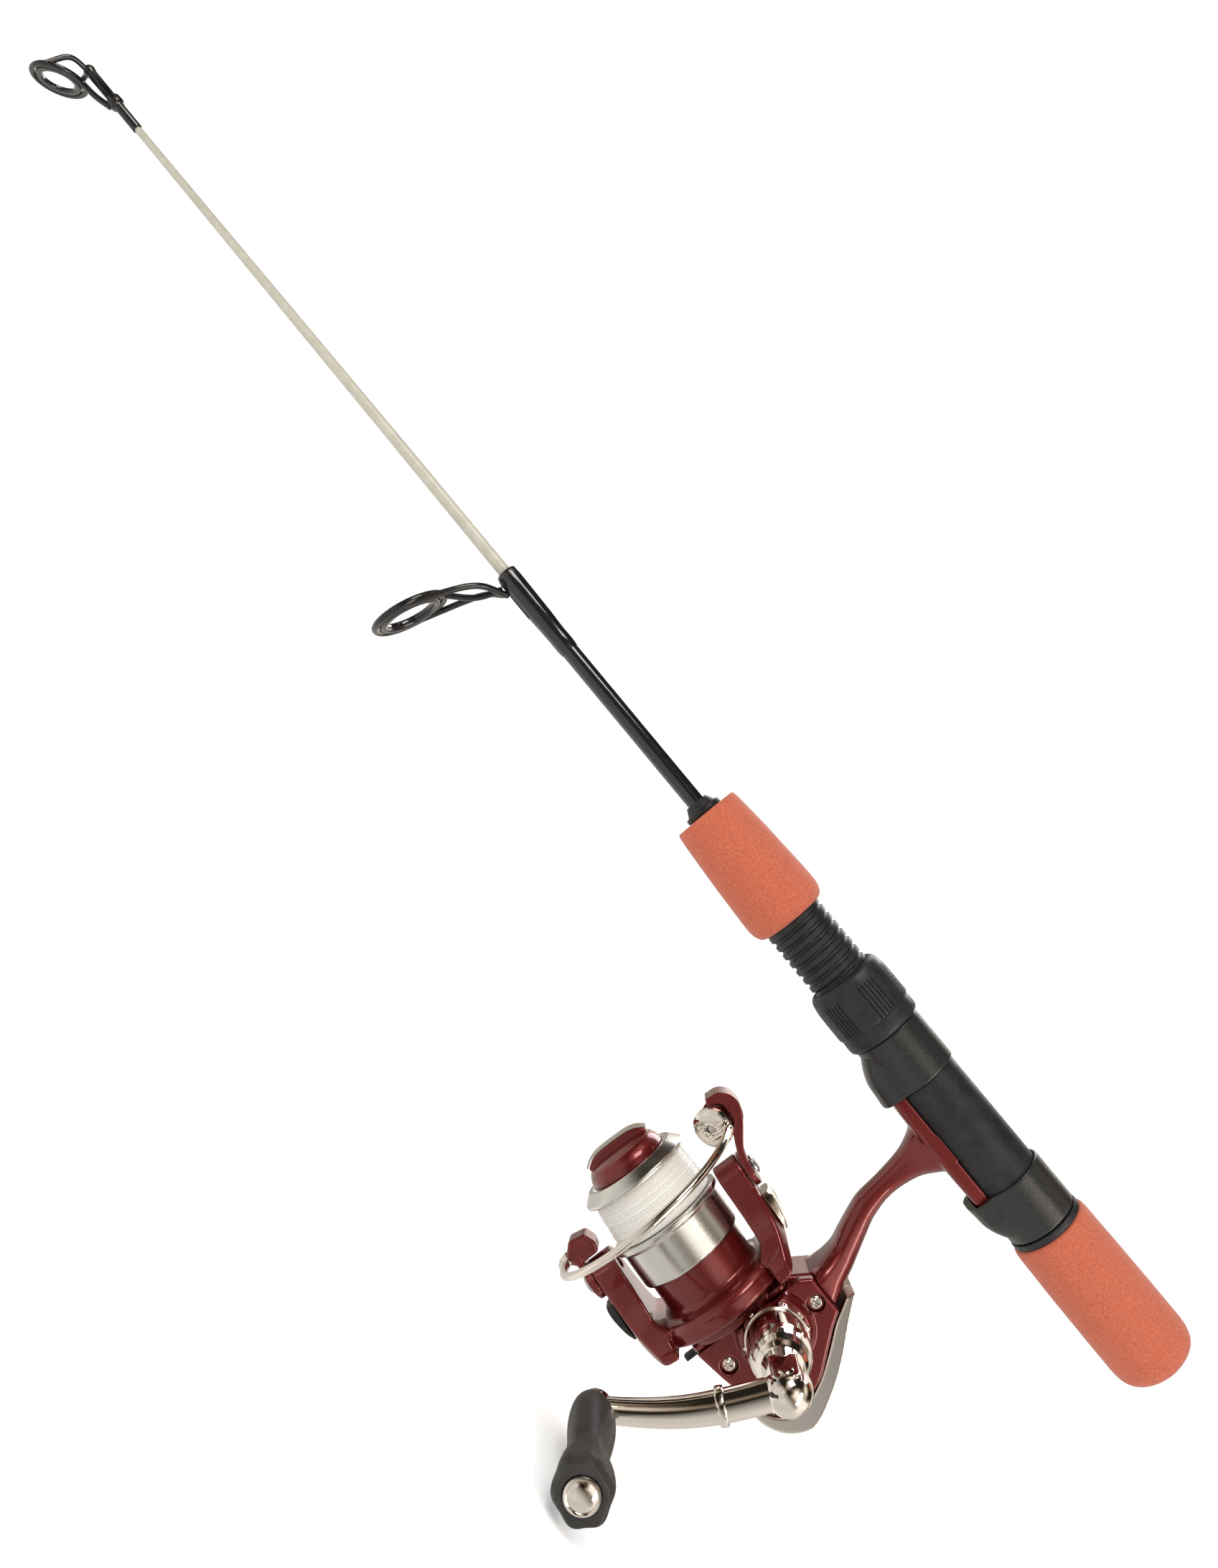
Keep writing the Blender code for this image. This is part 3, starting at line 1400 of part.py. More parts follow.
def bail():
    """The bail in the frame of its pivot: the arm that holds the roller, the hub opposite and the wire."""
    inner = ROTOR_ARM_OUT + GAP
    across_pivot = Matrix.Rotation(math.pi / 2, 4, "Y")
    # Edge-on path of the arm: flat over the pivot, swelling outwards, hooked over the roller.
    path = smooth_path(
        [
            (inner + 1.15 * MM, -1.0 * MM),
            (inner + 1.15 * MM, 2.0 * MM),
            (inner + 2.6 * MM, 6.5 * MM),
            (inner + 5.6 * MM, 12.5 * MM),
            (inner + 6.6 * MM, 16.5 * MM),
            (inner + 5.4 * MM, 19.4 * MM),
            (inner + 2.2 * MM, 20.6 * MM),
        ],
        3,
    )
    centre_line = [(p.x, p.y) for p in path]
    # Its outer side swells between the pivot and the hook.
    outer_side = []
    for k, (here, out_by) in enumerate(zip(centre_line, offset(centre_line, 1.0, closed=False))):
        beyond_screw = max(0.0, (k / (len(centre_line) - 1) - 0.3) / 0.7)
        swell = math.sin(math.pi * beyond_screw) ** 1.5 if beyond_screw < 1 else 0.0
        reach = BAIL_PLATE / 2 + ARM_SWELL * swell
        outer_side.append(tuple(a + (b - a) * reach for a, b in zip(here, out_by)))
    band = outer_side + offset(centre_line, -BAIL_PLATE / 2, closed=False)[::-1]
    arm = plate(
        "bail_arm", band, -4.6 * MM, 4.6 * MM, BAIL, RED_METALLIC,
        place=Matrix.Rotation(math.pi / 2, 4, "X"),
    )
    far_cheek = rod_disc(
        "roller_cheek", 5.4 * MM, ROLLER_HALF - 0.6 * MM, ROLLER_HALF + 2.4 * MM, BAIL,
        RED_METALLIC, ROUND_SMALL, towards(roller_point(0), ROLLER_AXIS),
    )
    lug_round = rod_disc(
        "arm_round", 5.0 * MM, inner + 0.1 * MM, inner + 1.8 * MM, BAIL, RED_METALLIC,
        ROUND_SMALL, across_pivot,
    )
    pivot_bore = rod_disc(
        "arm_pivot_bore", 1.5 * MM, 20 * MM, 32 * MM, BAIL, RED_METALLIC, ROUND_PIN, across_pivot
    )
    roller_room = turned(
        "roller_room",
        [
            (0, -ROLLER_HALF - 3.6 * MM),
            (WIRE_PLATE_R + 0.3 * MM, -ROLLER_HALF - 3.6 * MM),
            (WIRE_PLATE_R + 0.3 * MM, 0.2 * MM - ROLLER_HALF),
            (ROLLER_R + 1.3 * MM, 0.2 * MM - ROLLER_HALF),
            (ROLLER_R + 1.3 * MM, ROLLER_HALF + GAP),
            (1.3 * MM, ROLLER_HALF + GAP),
            (1.3 * MM, ROLLER_HALF + 6 * MM),
            (0, ROLLER_HALF + 6 * MM),
        ],
        BAIL,
        RED_METALLIC,
        ROUND_SMALL,
        towards(roller_point(0), ROLLER_AXIS),
    )
    join(arm, lug_round, far_cheek)
    cut(arm, roller_room, pivot_bore)

    turned(
        "line_roller",
        [
            (1.35 * MM, -ROLLER_HALF),
            (ROLLER_R + 0.4 * MM, -ROLLER_HALF),
            (ROLLER_R - 0.6 * MM, -0.6 * MM),
            (ROLLER_R - 0.6 * MM, 0.8 * MM),
            (ROLLER_R + 0.4 * MM, ROLLER_HALF),
            (1.35 * MM, ROLLER_HALF),
            (1.35 * MM, -ROLLER_HALF),
        ],
        BAIL,
        CHROME,
        20,
        towards(roller_point(0), ROLLER_AXIS),
    )
    rod_disc(
        "roller_screw", 1.15 * MM, -ROLLER_HALF - 1.9 * MM, ROLLER_HALF + 1.5 * MM, BAIL, STEEL, 12,
        towards(roller_point(0), ROLLER_AXIS),
    )
    bail_wire()
    bail_hub(inner, across_pivot)
    for end, hand in (("upper", 1), ("lower", -1)):
        turned(
            f"pivot_screw_{end}",
            [
                (0, ROTOR_ARM_IN + 0.8 * MM),
                (1.35 * MM, ROTOR_ARM_IN + 0.8 * MM),
                (1.35 * MM, inner + BAIL_PLATE + 0.4 * MM),
                (2.6 * MM, inner + BAIL_PLATE + 0.4 * MM),
                (2.3 * MM, inner + BAIL_PLATE + 1.2 * MM),
                (0, inner + BAIL_PLATE + 1.4 * MM),
            ],
            BAIL,
            STEEL,
            ROUND_PIN,
            Matrix.Rotation(hand * math.pi / 2, 4, "Y"),
        )


def bail_wire():
    """The wire: a loop on the crank's side from the roller's end plate down to the hub's ferrule."""
    loop = []
    for k in range(13):
        turn = math.radians(22 + (172 - 22) * k / 12)
        reach = (28.0 + 9.2 * math.sin(turn) ** 1.6) * MM
        forward = (47.4 - 5.0 * k / 12) * MM - BAIL_PIVOT_S
        loop.append((reach * math.cos(turn), -reach * math.sin(turn), forward))
    behind = Vector((0, 0, -1.6 * MM))
    entry = roller_point(-ROLLER_HALF - 1.2 * MM) + behind
    turn_out = roller_point(-ROLLER_HALF - 3.6 * MM) + behind
    hub_s = 42.4 * MM - BAIL_PIVOT_S
    hooked = [(-29.6 * MM, -1.8 * MM, hub_s), (-29.2 * MM, 0, hub_s), (-27.2 * MM, 0, hub_s)]
    path = [entry, turn_out, *loop, *hooked, (-24.0 * MM, 0, hub_s)]
    bar = wire("bail_wire", path, BAIL_WIRE_R, BAIL, CHROME)
    end_plate = turned(
        "wire_end_plate",
        [
            (0, -ROLLER_HALF - 2.4 * MM),
            (WIRE_PLATE_R - 0.8 * MM, -ROLLER_HALF - 2.2 * MM),
            (WIRE_PLATE_R, -ROLLER_HALF - 1.6 * MM),
            (WIRE_PLATE_R, -ROLLER_HALF - 0.6 * MM),
            (WIRE_PLATE_R - 0.4 * MM, -ROLLER_HALF - 0.2 * MM),
            (0, -ROLLER_HALF - 0.2 * MM),
        ],
        BAIL,
        CHROME,
        ROUND_SMALL,
        towards(roller_point(0), ROLLER_AXIS),
    )
    ferrule = turned(
        "wire_ferrule",
        [(0, 27.2 * MM), (2.0 * MM, 27.3 * MM), (1.2 * MM, 29.9 * MM), (0, 30.1 * MM)],
        BAIL,
        CHROME,
        12,
        at(0, 0, hub_s) @ Matrix.Rotation(-math.pi / 2, 4, "Y"),
    )
    join(bar, end_plate, ferrule)
    end_bore = rod_disc(
        "end_plate_bore", 1.3 * MM, -ROLLER_HALF - 5 * MM, 1 * MM, BAIL, CHROME, 12,
        towards(roller_point(0), ROLLER_AXIS),
    )
    cut(bar, end_bore)


def bail_hub(inner, across_pivot):
    """The lower end of the bail: a lug outside the rotor's arm and a block in front of it."""
    hub_s = 42.4 * MM - BAIL_PIVOT_S
    lug = rod_disc(
        "bail_hub", 4.8 * MM, -inner - BAIL_PLATE, -inner, BAIL, RED_METALLIC, ROUND_SMALL,
        across_pivot,
    )
    strap = box(
        "hub_strap", (-inner - BAIL_PLATE + 0.2 * MM, -3.9 * MM, 0), (-inner - 0.1 * MM, 3.9 * MM, hub_s),
        BAIL, RED_METALLIC,
    )
    block = plate(
        "hub_block",
        [
            (-19.2 * MM, ARM_TIP_R + 0.9 * MM),
            (-26.8 * MM, ARM_TIP_R + 0.9 * MM),
            (-27.0 * MM, hub_s + 1.6 * MM),
            (-24.4 * MM, hub_s + 4.4 * MM),
            (-19.8 * MM, hub_s + 3.6 * MM),
            (-18.6 * MM, hub_s + 0.5 * MM),
        ],
        -3.6 * MM,
        3.6 * MM,
        BAIL,
        RED_METALLIC,
        radii=1.4 * MM,
        bevel=0.8 * MM,
        steps=2,
        place=Matrix.Rotation(math.pi / 2, 4, "X"),
    )
    bore = rod_disc(
        "hub_wire_bore", BAIL_WIRE_R + 0.15 * MM, 23.6 * MM, 32 * MM, BAIL, RED_METALLIC, 12,
        at(0, 0, hub_s) @ Matrix.Rotation(-math.pi / 2, 4, "Y"),
    )
    pivot_bore = rod_disc(
        "hub_pivot_bore", 1.5 * MM, -32 * MM, -20 * MM, BAIL, RED_METALLIC, ROUND_PIN, across_pivot
    )
    join(lug, strap, block)
    cut(lug, bore, pivot_bore)


# ---------------------------------------------------------------- spool and drag


def spool():
    bore = SHAFT_R + 0.12 * MM
    skirt_in = SKIRT_R - SKIRT_WALL
    web = DRUM_REAR_S - 1.5 * MM
    turned(
        "spool",
        [
            (skirt_in, SKIRT_REAR_S),
            (SKIRT_R - 0.35 * MM, SKIRT_REAR_S),
            (SKIRT_R, SKIRT_REAR_S + 1 * MM),
            (SKIRT_R, web - 0.8 * MM),
            (16.2 * MM, web + 0.2 * MM),
            (16.2 * MM, DRUM_REAR_S),
            (DRUM_R, DRUM_REAR_S),
            (DRUM_R, DRUM_FRONT_S),
            (LIP_R, DRUM_FRONT_S),
            (LIP_R, DRUM_FRONT_S + 1.0 * MM),
            (LIP_R - 2.5 * MM, DRUM_FRONT_S + 3.4 * MM),
            (DRAG_KNOB_R + 0.7 * MM, DRUM_FRONT_S + 3.4 * MM),
            (DRAG_KNOB_R + 0.5 * MM, DRUM_FRONT_S + 2.3 * MM),
            (DRAG_WELL_R, DRUM_FRONT_S + 2.3 * MM),
            (DRAG_WELL_R, DRAG_WELL_FLOOR_S),
            (bore, DRAG_WELL_FLOOR_S),
            (bore, web - 1.0 * MM),
            (5 * MM, web - 1.0 * MM),
            (5 * MM, web),
            (skirt_in, web),
            (skirt_in, SKIRT_REAR_S),
        ],
        SPOOL,
        SILVER,
        ROUND_LARGE,
    )
    wound = [(DRUM_R + GAP, DRUM_REAR_S + GAP)]
    wound += [(LINE_R + 0.4 * MM, DRUM_REAR_S + GAP), (LINE_R + 0.4 * MM, DRUM_REAR_S + 3 * MM)]
    wound += [(LINE_R - 0.3 * MM, DRUM_FRONT_S - 2 * MM), (LINE_R - 0.6 * MM, DRUM_FRONT_S - GAP)]
    wound += [(DRUM_R + GAP, DRUM_FRONT_S - GAP), (DRUM_R + GAP, DRUM_REAR_S + GAP)]
    turned("wound_line", wound, SPOOL, LINE, ROUND)
    turned(
        "main_shaft",
        [(0, SHAFT_START_S), (SHAFT_R, SHAFT_START_S), (SHAFT_R, SHAFT_END_S), (0, SHAFT_END_S)],
        SPOOL,
        STEEL,
        ROUND_PIN,
    )
    level = DRAG_WELL_FLOOR_S + GAP
    for name, look in (("drag_washer_felt", FELT), ("drag_washer_metal", STEEL)):
        ring(
            name, SHAFT_R + 0.4 * MM, DRAG_WELL_R - 0.4 * MM, level, level + WASHER_THICKNESS,
            SPOOL, look, ROUND_SMALL,
        )
        level += WASHER_THICKNESS + GAP
    hoop("drag_clip", DRAG_WELL_R - 0.7 * MM, 0.3 * MM, SPOOL, STEEL, at(0, 0, level + 0.5 * MM), 16, 4)
    drag_knob()


def drag_knob():
    """The domed knob with its raised fin, the bright strip on the fin and the spring inside."""
    base = DRAG_KNOB_BASE_S
    knob = turned(
        "drag_knob",
        [
            (0, base + 5.9 * MM),
            (6.5 * MM, base + 5.6 * MM),
            (9.6 * MM, base + 4.4 * MM),
            (DRAG_KNOB_R - 0.2 * MM, base + 2.2 * MM),
            (DRAG_KNOB_R, base + 0.4 * MM),
            (DRAG_KNOB_R - 0.4 * MM, base),
            (7.2 * MM, base),
            (7.2 * MM, base - 2.0 * MM),
            (4.6 * MM, base - 2.0 * MM),
            (4.6 * MM, base + 2.2 * MM),
            (SHAFT_R + 0.15 * MM, base + 2.2 * MM),
            (SHAFT_R + 0.15 * MM, base + 4.0 * MM),
            (0, base + 4.0 * MM),
        ][::-1],
        SPOOL,
        RED_METALLIC,
        ROUND,
    )
    # The fin lies across the knob, towards the rod; its top is a low arch.
    fin_points = [(-9.0 * MM, base + 4.2 * MM)]
    arch = []
    for k in range(9):
        share = -1 + 2 * k / 8
        arch.append((9.2 * MM * share, base + (7.9 - 2.3 * share**4) * MM))
    fin_points += arch + [(9.0 * MM, base + 4.2 * MM)]
    fin = plate(
        "knob_fin", fin_points, -1.9 * MM, 1.9 * MM, SPOOL, RED_METALLIC, bevel=0.5 * MM,
        place=Matrix.Rotation(math.pi / 2, 4, "X"),
    )
    join(knob, fin)
    strip_line = offset(arch, -0.75 * MM, closed=False)
    strip = [p for p in offset(arch, -0.2 * MM, closed=False)] + strip_line[::-1]
    plate(
        "knob_strip", strip, -1.5 * MM, 1.5 * MM, SPOOL, CHROME,
        place=Matrix.Rotation(math.pi / 2, 4, "X"),
    )
    turns, wire_r, coil_r = 2.5, 0.32 * MM, 3.4 * MM
    points = []
    for k in range(int(turns * 10) + 1):
        turn = 2 * math.pi * k / 10
        points.append(
            (
                coil_r * math.cos(turn),
                coil_r * math.sin(turn),
                base - 2.6 * MM + 4.2 * MM * k / (turns * 10),
            )
        )
    wire("drag_spring", points, wire_r, SPOOL, STEEL, sides=4)


# ---------------------------------------------------------------- crank


def crank():
    start = BODY_HALF_WIDTH + 3.7 * MM
    turned(
        "stud_ring",
        [
            (CRANK_SHAFT_R + 0.1 * MM, start),
            (STUD_RING_R - 0.4 * MM, start),
            (STUD_RING_R, start + 0.8 * MM),
            (STUD_RING_R - 0.3 * MM, start + 2.2 * MM),
            (COLLAR_R + 0.3 * MM, start + 3.0 * MM),
            (CRANK_SHAFT_R + 0.1 * MM, start + 3.0 * MM),
            (CRANK_SHAFT_R + 0.1 * MM, start),
        ],
        CRANK,
        CHROME,
        ROUND,
    )
    collar_start = start + 3.2 * MM
    elbow = ELBOW_OUT
    collar = turned(
        "crank_collar",
        [
            (CRANK_SHAFT_R + 0.1 * MM, collar_start),
            (COLLAR_R - 0.3 * MM, collar_start),
            (COLLAR_R, collar_start + 1.0 * MM),
            (COLLAR_R, collar_start + 9.0 * MM),
            (COLLAR_R - 0.8 * MM, collar_start + 13.0 * MM),
            (COLLAR_R - 2.6 * MM, collar_start + 16.5 * MM),
            (COLLAR_R - 3.6 * MM, elbow - 8.8 * MM),
            (2.5 * MM, elbow - 6.3 * MM),
            (0, elbow - 6.3 * MM),
            (0, start + 4.5 * MM),
            (CRANK_SHAFT_R + 0.1 * MM, start + 4.5 * MM),
            (CRANK_SHAFT_R + 0.1 * MM, collar_start),
        ],
        CRANK,
        CHROME,
        ROUND,
    )
    # Two ears on the collar's end hold the fold pin, which lies across the arm.
    ears = []
    for hand in (-1, 1):
        ears.append(
            plate(
                f"fork_ear_{'near' if hand < 0 else 'far'}",
                [
                    (-3.4 * MM, elbow - 10.4 * MM),
                    (3.4 * MM, elbow - 10.4 * MM),
                    (3.4 * MM, elbow + 2.6 * MM),
                    (-3.4 * MM, elbow + 2.6 * MM),
                ],
                min(hand * 2.7 * MM, hand * 4.2 * MM),
                max(hand * 2.7 * MM, hand * 4.2 * MM),
                CRANK,
                CHROME,
                radii=[0, 0, 2.6 * MM, 2.6 * MM],
                place=Matrix.Rotation(math.pi / 2, 4, "X"),
            )
        )
    pin_place = at(0, 0, elbow) @ Matrix.Rotation(math.pi / 2, 4, "X")
    pin_bore = rod_disc("fold_pin_bore", 1.15 * MM, -8 * MM, 8 * MM, CRANK, CHROME, 12, pin_place)
    join(collar, *ears)
    cut(collar, pin_bore)
    turned(
        "fold_pin",
        [
            (0, -5.0 * MM),
            (1.7 * MM, -5.0 * MM),
            (1.9 * MM, -4.55 * MM),
            (1.0 * MM, -4.55 * MM),
            (1.0 * MM, 4.55 * MM),
            (1.9 * MM, 4.55 * MM),
            (1.7 * MM, 5.0 * MM),
            (0, 5.0 * MM),
        ],
        CRANK,
        CHROME,
        ROUND_PIN,
        pin_place,
    )
    crank_arm(elbow)
    knob(elbow)


def crank_arm(elbow):
    """The arm from the ball at the fold pin to the boss that carries the knob."""
    bend = 2.3 * MM
    bend_start = 3.0 * MM
    ball_r = 5.7 * MM
    path, radii = [], []
    for k in range(9):
        share = k / 8
        along = bend_start + (CRANK_RADIUS - bend_start) * share
        path.append((along, bend * math.sin(math.pi * share), elbow))
        radii.append(ARM_R + (ARM_END_R - ARM_R) * min(1, max(0, (share - 0.3) / 0.6)))
    bar = wire("crank_arm", path, radii, CRANK, CHROME, sides=ROUND_PIN)
    ball = turned(
        "elbow_ball",
        [
            (ball_r * math.cos(turn), ball_r * math.sin(turn))
            for turn in [math.radians(-90 + 180 * k / 8) for k in range(9)]
        ],
        CRANK,
        CHROME,
        ROUND_SMALL,
        at(0, 0, elbow),
    )
    # Room for the collar's ears beside the tongue, wider underneath where the arm swings towards them.
    swing = [(-9.0, -7.0), (6.3, -7.0), (6.3, -2.7), (3.7, 2.0), (3.7, 3.3), (-9.0, 3.3)]
    rooms = []
    for hand in (-1, 1):
        rooms.append(
            plate(
                f"tongue_room_{'near' if hand < 0 else 'far'}",
                [(x * MM, elbow + z * MM) for x, z in swing],
                min(hand * 2.5 * MM, hand * 9.0 * MM),
                max(hand * 2.5 * MM, hand * 9.0 * MM),
                CRANK,
                CHROME,
                place=Matrix.Rotation(math.pi / 2, 4, "X"),
            )
        )
    pin_place = at(0, 0, elbow) @ Matrix.Rotation(math.pi / 2, 4, "X")
    pin_bore = rod_disc("arm_pin_bore", 1.15 * MM, -8 * MM, 8 * MM, CRANK, CHROME, 12, pin_place)
    boss = turned(
        "arm_boss",
        [
            (0, elbow - 3.4 * MM),
            (3.0 * MM, elbow - 3.2 * MM),
            (3.9 * MM, elbow - 1.8 * MM),
            (3.9 * MM, elbow + 2.6 * MM),
            (3.2 * MM, elbow + 3.2 * MM),
            (0, elbow + 3.2 * MM),
        ],
        CRANK,
        CHROME,
        ROUND_SMALL,
        at(CRANK_RADIUS, 0, 0),
    )
    shank = rod_disc(
        "knob_shank", KNOB_SHANK_R, elbow + 1 * MM, elbow + KNOB_LENGTH - 5.5 * MM, CRANK, CHROME,
        ROUND_PIN, at(CRANK_RADIUS, 0, 0),
    )
    join(bar, ball, boss, shank)
    cut(bar, *rooms, pin_bore)
    sleeve_r = ARM_R + 0.7 * MM
    bent_length = CRANK_RADIUS - bend_start
    turn = math.pi * (SLEEVE_AT - bend_start) / bent_length
    lean = math.atan2(math.pi * bend * math.cos(turn), bent_length)
    place = at(SLEEVE_AT, bend * math.sin(turn), elbow)
    place = place @ Matrix.Rotation(lean, 4, "Z") @ Matrix.Rotation(math.pi / 2, 4, "Y")
    ring("arm_sleeve", ARM_R + 0.2 * MM, sleeve_r, -1 * MM, 1 * MM, CRANK, CHROME, ROUND_SMALL, place)


def knob(elbow):
    """The paddle knob: round at the arm, narrow at its waist and a fat six-sided end with a domed cap."""
    low = elbow + 3.5 * MM
    place = at(CRANK_RADIUS, 0, low)
    length = KNOB_LENGTH - 3.5 * MM
    rows = []
    stations = (
        (0.0, 3.6, 5.0),
        (0.05, 4.8, 6.6),
        (0.2, 5.2, 7.6),
        (0.42, 4.6, 6.6),
        (0.6, 4.6, 5.6),
        (0.78, 5.8, 6.6),
        (0.93, 6.2, 7.2),
        (1.0, 5.2, 6.2),
    )
    for share, half_x, half_y in stations:
        row = []
        for k in range(18):
            turn = 2 * math.pi * k / 18
            sharp = 1 + 0.05 * share * math.cos(6 * turn)
            row.append(
                (
                    half_x * MM * sharp * math.cos(turn),
                    half_y * MM * sharp * math.sin(turn),
                    share * length,
                )
            )
        rows.append(row)
    grip = loft("knob", rows, CRANK, KNOB_PLASTIC, place)
    bore = rod_disc(
        "knob_bore", KNOB_SHANK_R + 0.25 * MM, -2 * MM, length - 3.6 * MM, CRANK, KNOB_PLASTIC,
        ROUND_PIN, place,
    )
    cap_seat = rod_disc(
        "cap_seat", KNOB_CAP_R + 0.1 * MM, length - 3.9 * MM, length + 3 * MM, CRANK, KNOB_PLASTIC,
        ROUND_SMALL,
        place,
    )
    cut(grip, bore, cap_seat)
    turned(
        "knob_cap",
        [
            (0, length - 1.6 * MM),
            (KNOB_CAP_R, length - 1.6 * MM),
            (KNOB_CAP_R, length + 0.3 * MM),
            (KNOB_CAP_R - 0.5 * MM, length + 0.6 * MM),
            (KNOB_CAP_R - 0.8 * MM, length + 0.3 * MM),
            (KNOB_CAP_R * 0.5, length + 0.9 * MM),
            (0, length + 1.1 * MM),
        ],
        CRANK,
        CHROME,
        ROUND_SMALL,
        place,
    )


blank()
guide_wrap()
tip_top()
stripper_guide()
grips()
reel_seat()
housing()
drive()
rotor()
bail()
spool()
crank()
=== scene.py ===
"""The looks of a short fishing rod and its spinning reel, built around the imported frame.

Lengths are metres, given in millimetres times MM. The rod lies along X, its tip towards -X, the reel
hangs towards -Z and the crank is on the -Y side. Five matrices give the axes that the pieces are drawn in.
"""

import json
import math

import bmesh
import bpy
from mathutils import Matrix, Vector, noise


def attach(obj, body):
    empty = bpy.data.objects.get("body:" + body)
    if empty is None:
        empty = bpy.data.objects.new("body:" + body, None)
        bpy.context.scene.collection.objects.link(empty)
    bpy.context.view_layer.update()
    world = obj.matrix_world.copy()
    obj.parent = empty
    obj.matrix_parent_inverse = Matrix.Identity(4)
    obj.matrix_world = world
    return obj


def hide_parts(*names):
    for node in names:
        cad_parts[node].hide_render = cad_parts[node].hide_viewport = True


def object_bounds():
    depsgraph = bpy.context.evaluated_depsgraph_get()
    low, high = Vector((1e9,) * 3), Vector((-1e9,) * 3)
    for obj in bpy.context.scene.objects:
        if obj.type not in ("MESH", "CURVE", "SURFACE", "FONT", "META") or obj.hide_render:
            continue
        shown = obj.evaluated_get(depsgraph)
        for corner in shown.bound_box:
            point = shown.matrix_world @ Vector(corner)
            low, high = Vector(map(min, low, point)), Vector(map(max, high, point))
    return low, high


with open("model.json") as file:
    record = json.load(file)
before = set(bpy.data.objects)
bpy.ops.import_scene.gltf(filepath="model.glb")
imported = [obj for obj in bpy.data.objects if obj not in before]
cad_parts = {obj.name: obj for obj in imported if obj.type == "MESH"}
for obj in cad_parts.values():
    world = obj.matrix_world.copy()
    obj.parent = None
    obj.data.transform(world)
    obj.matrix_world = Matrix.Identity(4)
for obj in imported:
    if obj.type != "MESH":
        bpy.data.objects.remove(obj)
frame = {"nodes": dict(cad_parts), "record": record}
CAD_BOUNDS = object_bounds()
MM = 0.001
GAP = 0.15 * MM
NODE_BODY = {
    node: body
    for body, nodes in frame["record"]["behaviour"]["bodies"].items()
    for node in nodes
}
NODE_SLOT = {row["node"]: row["material_slot"] for row in frame["record"]["subparts"]}


def basis(origin, x, y, z):
    """The matrix whose columns are these axes, at this origin."""
    return Matrix.Translation(origin) @ Matrix((x, y, z)).transposed().to_4x4()


# ---------------------------------------------------------------- camera, floor and light


CAMERA_PLACE = Vector((-178, -329, -15)) * MM
CAMERA_ALONG = Vector((0.9966, 0.0819, 0))  # level, and square to the way the camera looks
CAMERA_ROLL_COS, CAMERA_ROLL_SIN = 0.63574, 0.77190
CAMERA_LENS = 28.02


def camera():
    along, down = CAMERA_ALONG, Vector((0, 0, -1))
    ahead = along.cross(down)
    right = along * CAMERA_ROLL_COS - down * CAMERA_ROLL_SIN
    below = along * CAMERA_ROLL_SIN + down * CAMERA_ROLL_COS
    data = bpy.data.cameras.new("camera")
    data.sensor_width = 36.0
    data.lens = CAMERA_LENS
    data.clip_start, data.clip_end = 0.01, 50.0
    made = bpy.data.objects.new("camera", data)
    bpy.context.scene.collection.objects.link(made)
    made.matrix_world = basis(CAMERA_PLACE, right, -below, -ahead)
    bpy.context.scene.camera = made


def aimed(obj, place, target):
    obj.location = place
    obj.rotation_mode = "QUATERNION"
    obj.rotation_quaternion = (Vector(target) - Vector(place)).to_track_quat("-Z", "Y")
    bpy.context.scene.collection.objects.link(obj)


def lamp(name, place, size, power, colour, target=(-0.2, 0, -0.05)):
    data = bpy.data.lights.new(name, "AREA")
    data.shape = "RECTANGLE"
    data.size, data.size_y = size
    data.energy = power
    data.color = colour
    aimed(bpy.data.objects.new(name, data), place, target)


ROOM_RADIUS = 6.0
# The colour sockets of a Mix node, which share their names with its other kinds
MIX_FACTOR, MIX_A, MIX_B, MIX_RESULT = 0, 6, 7, 2


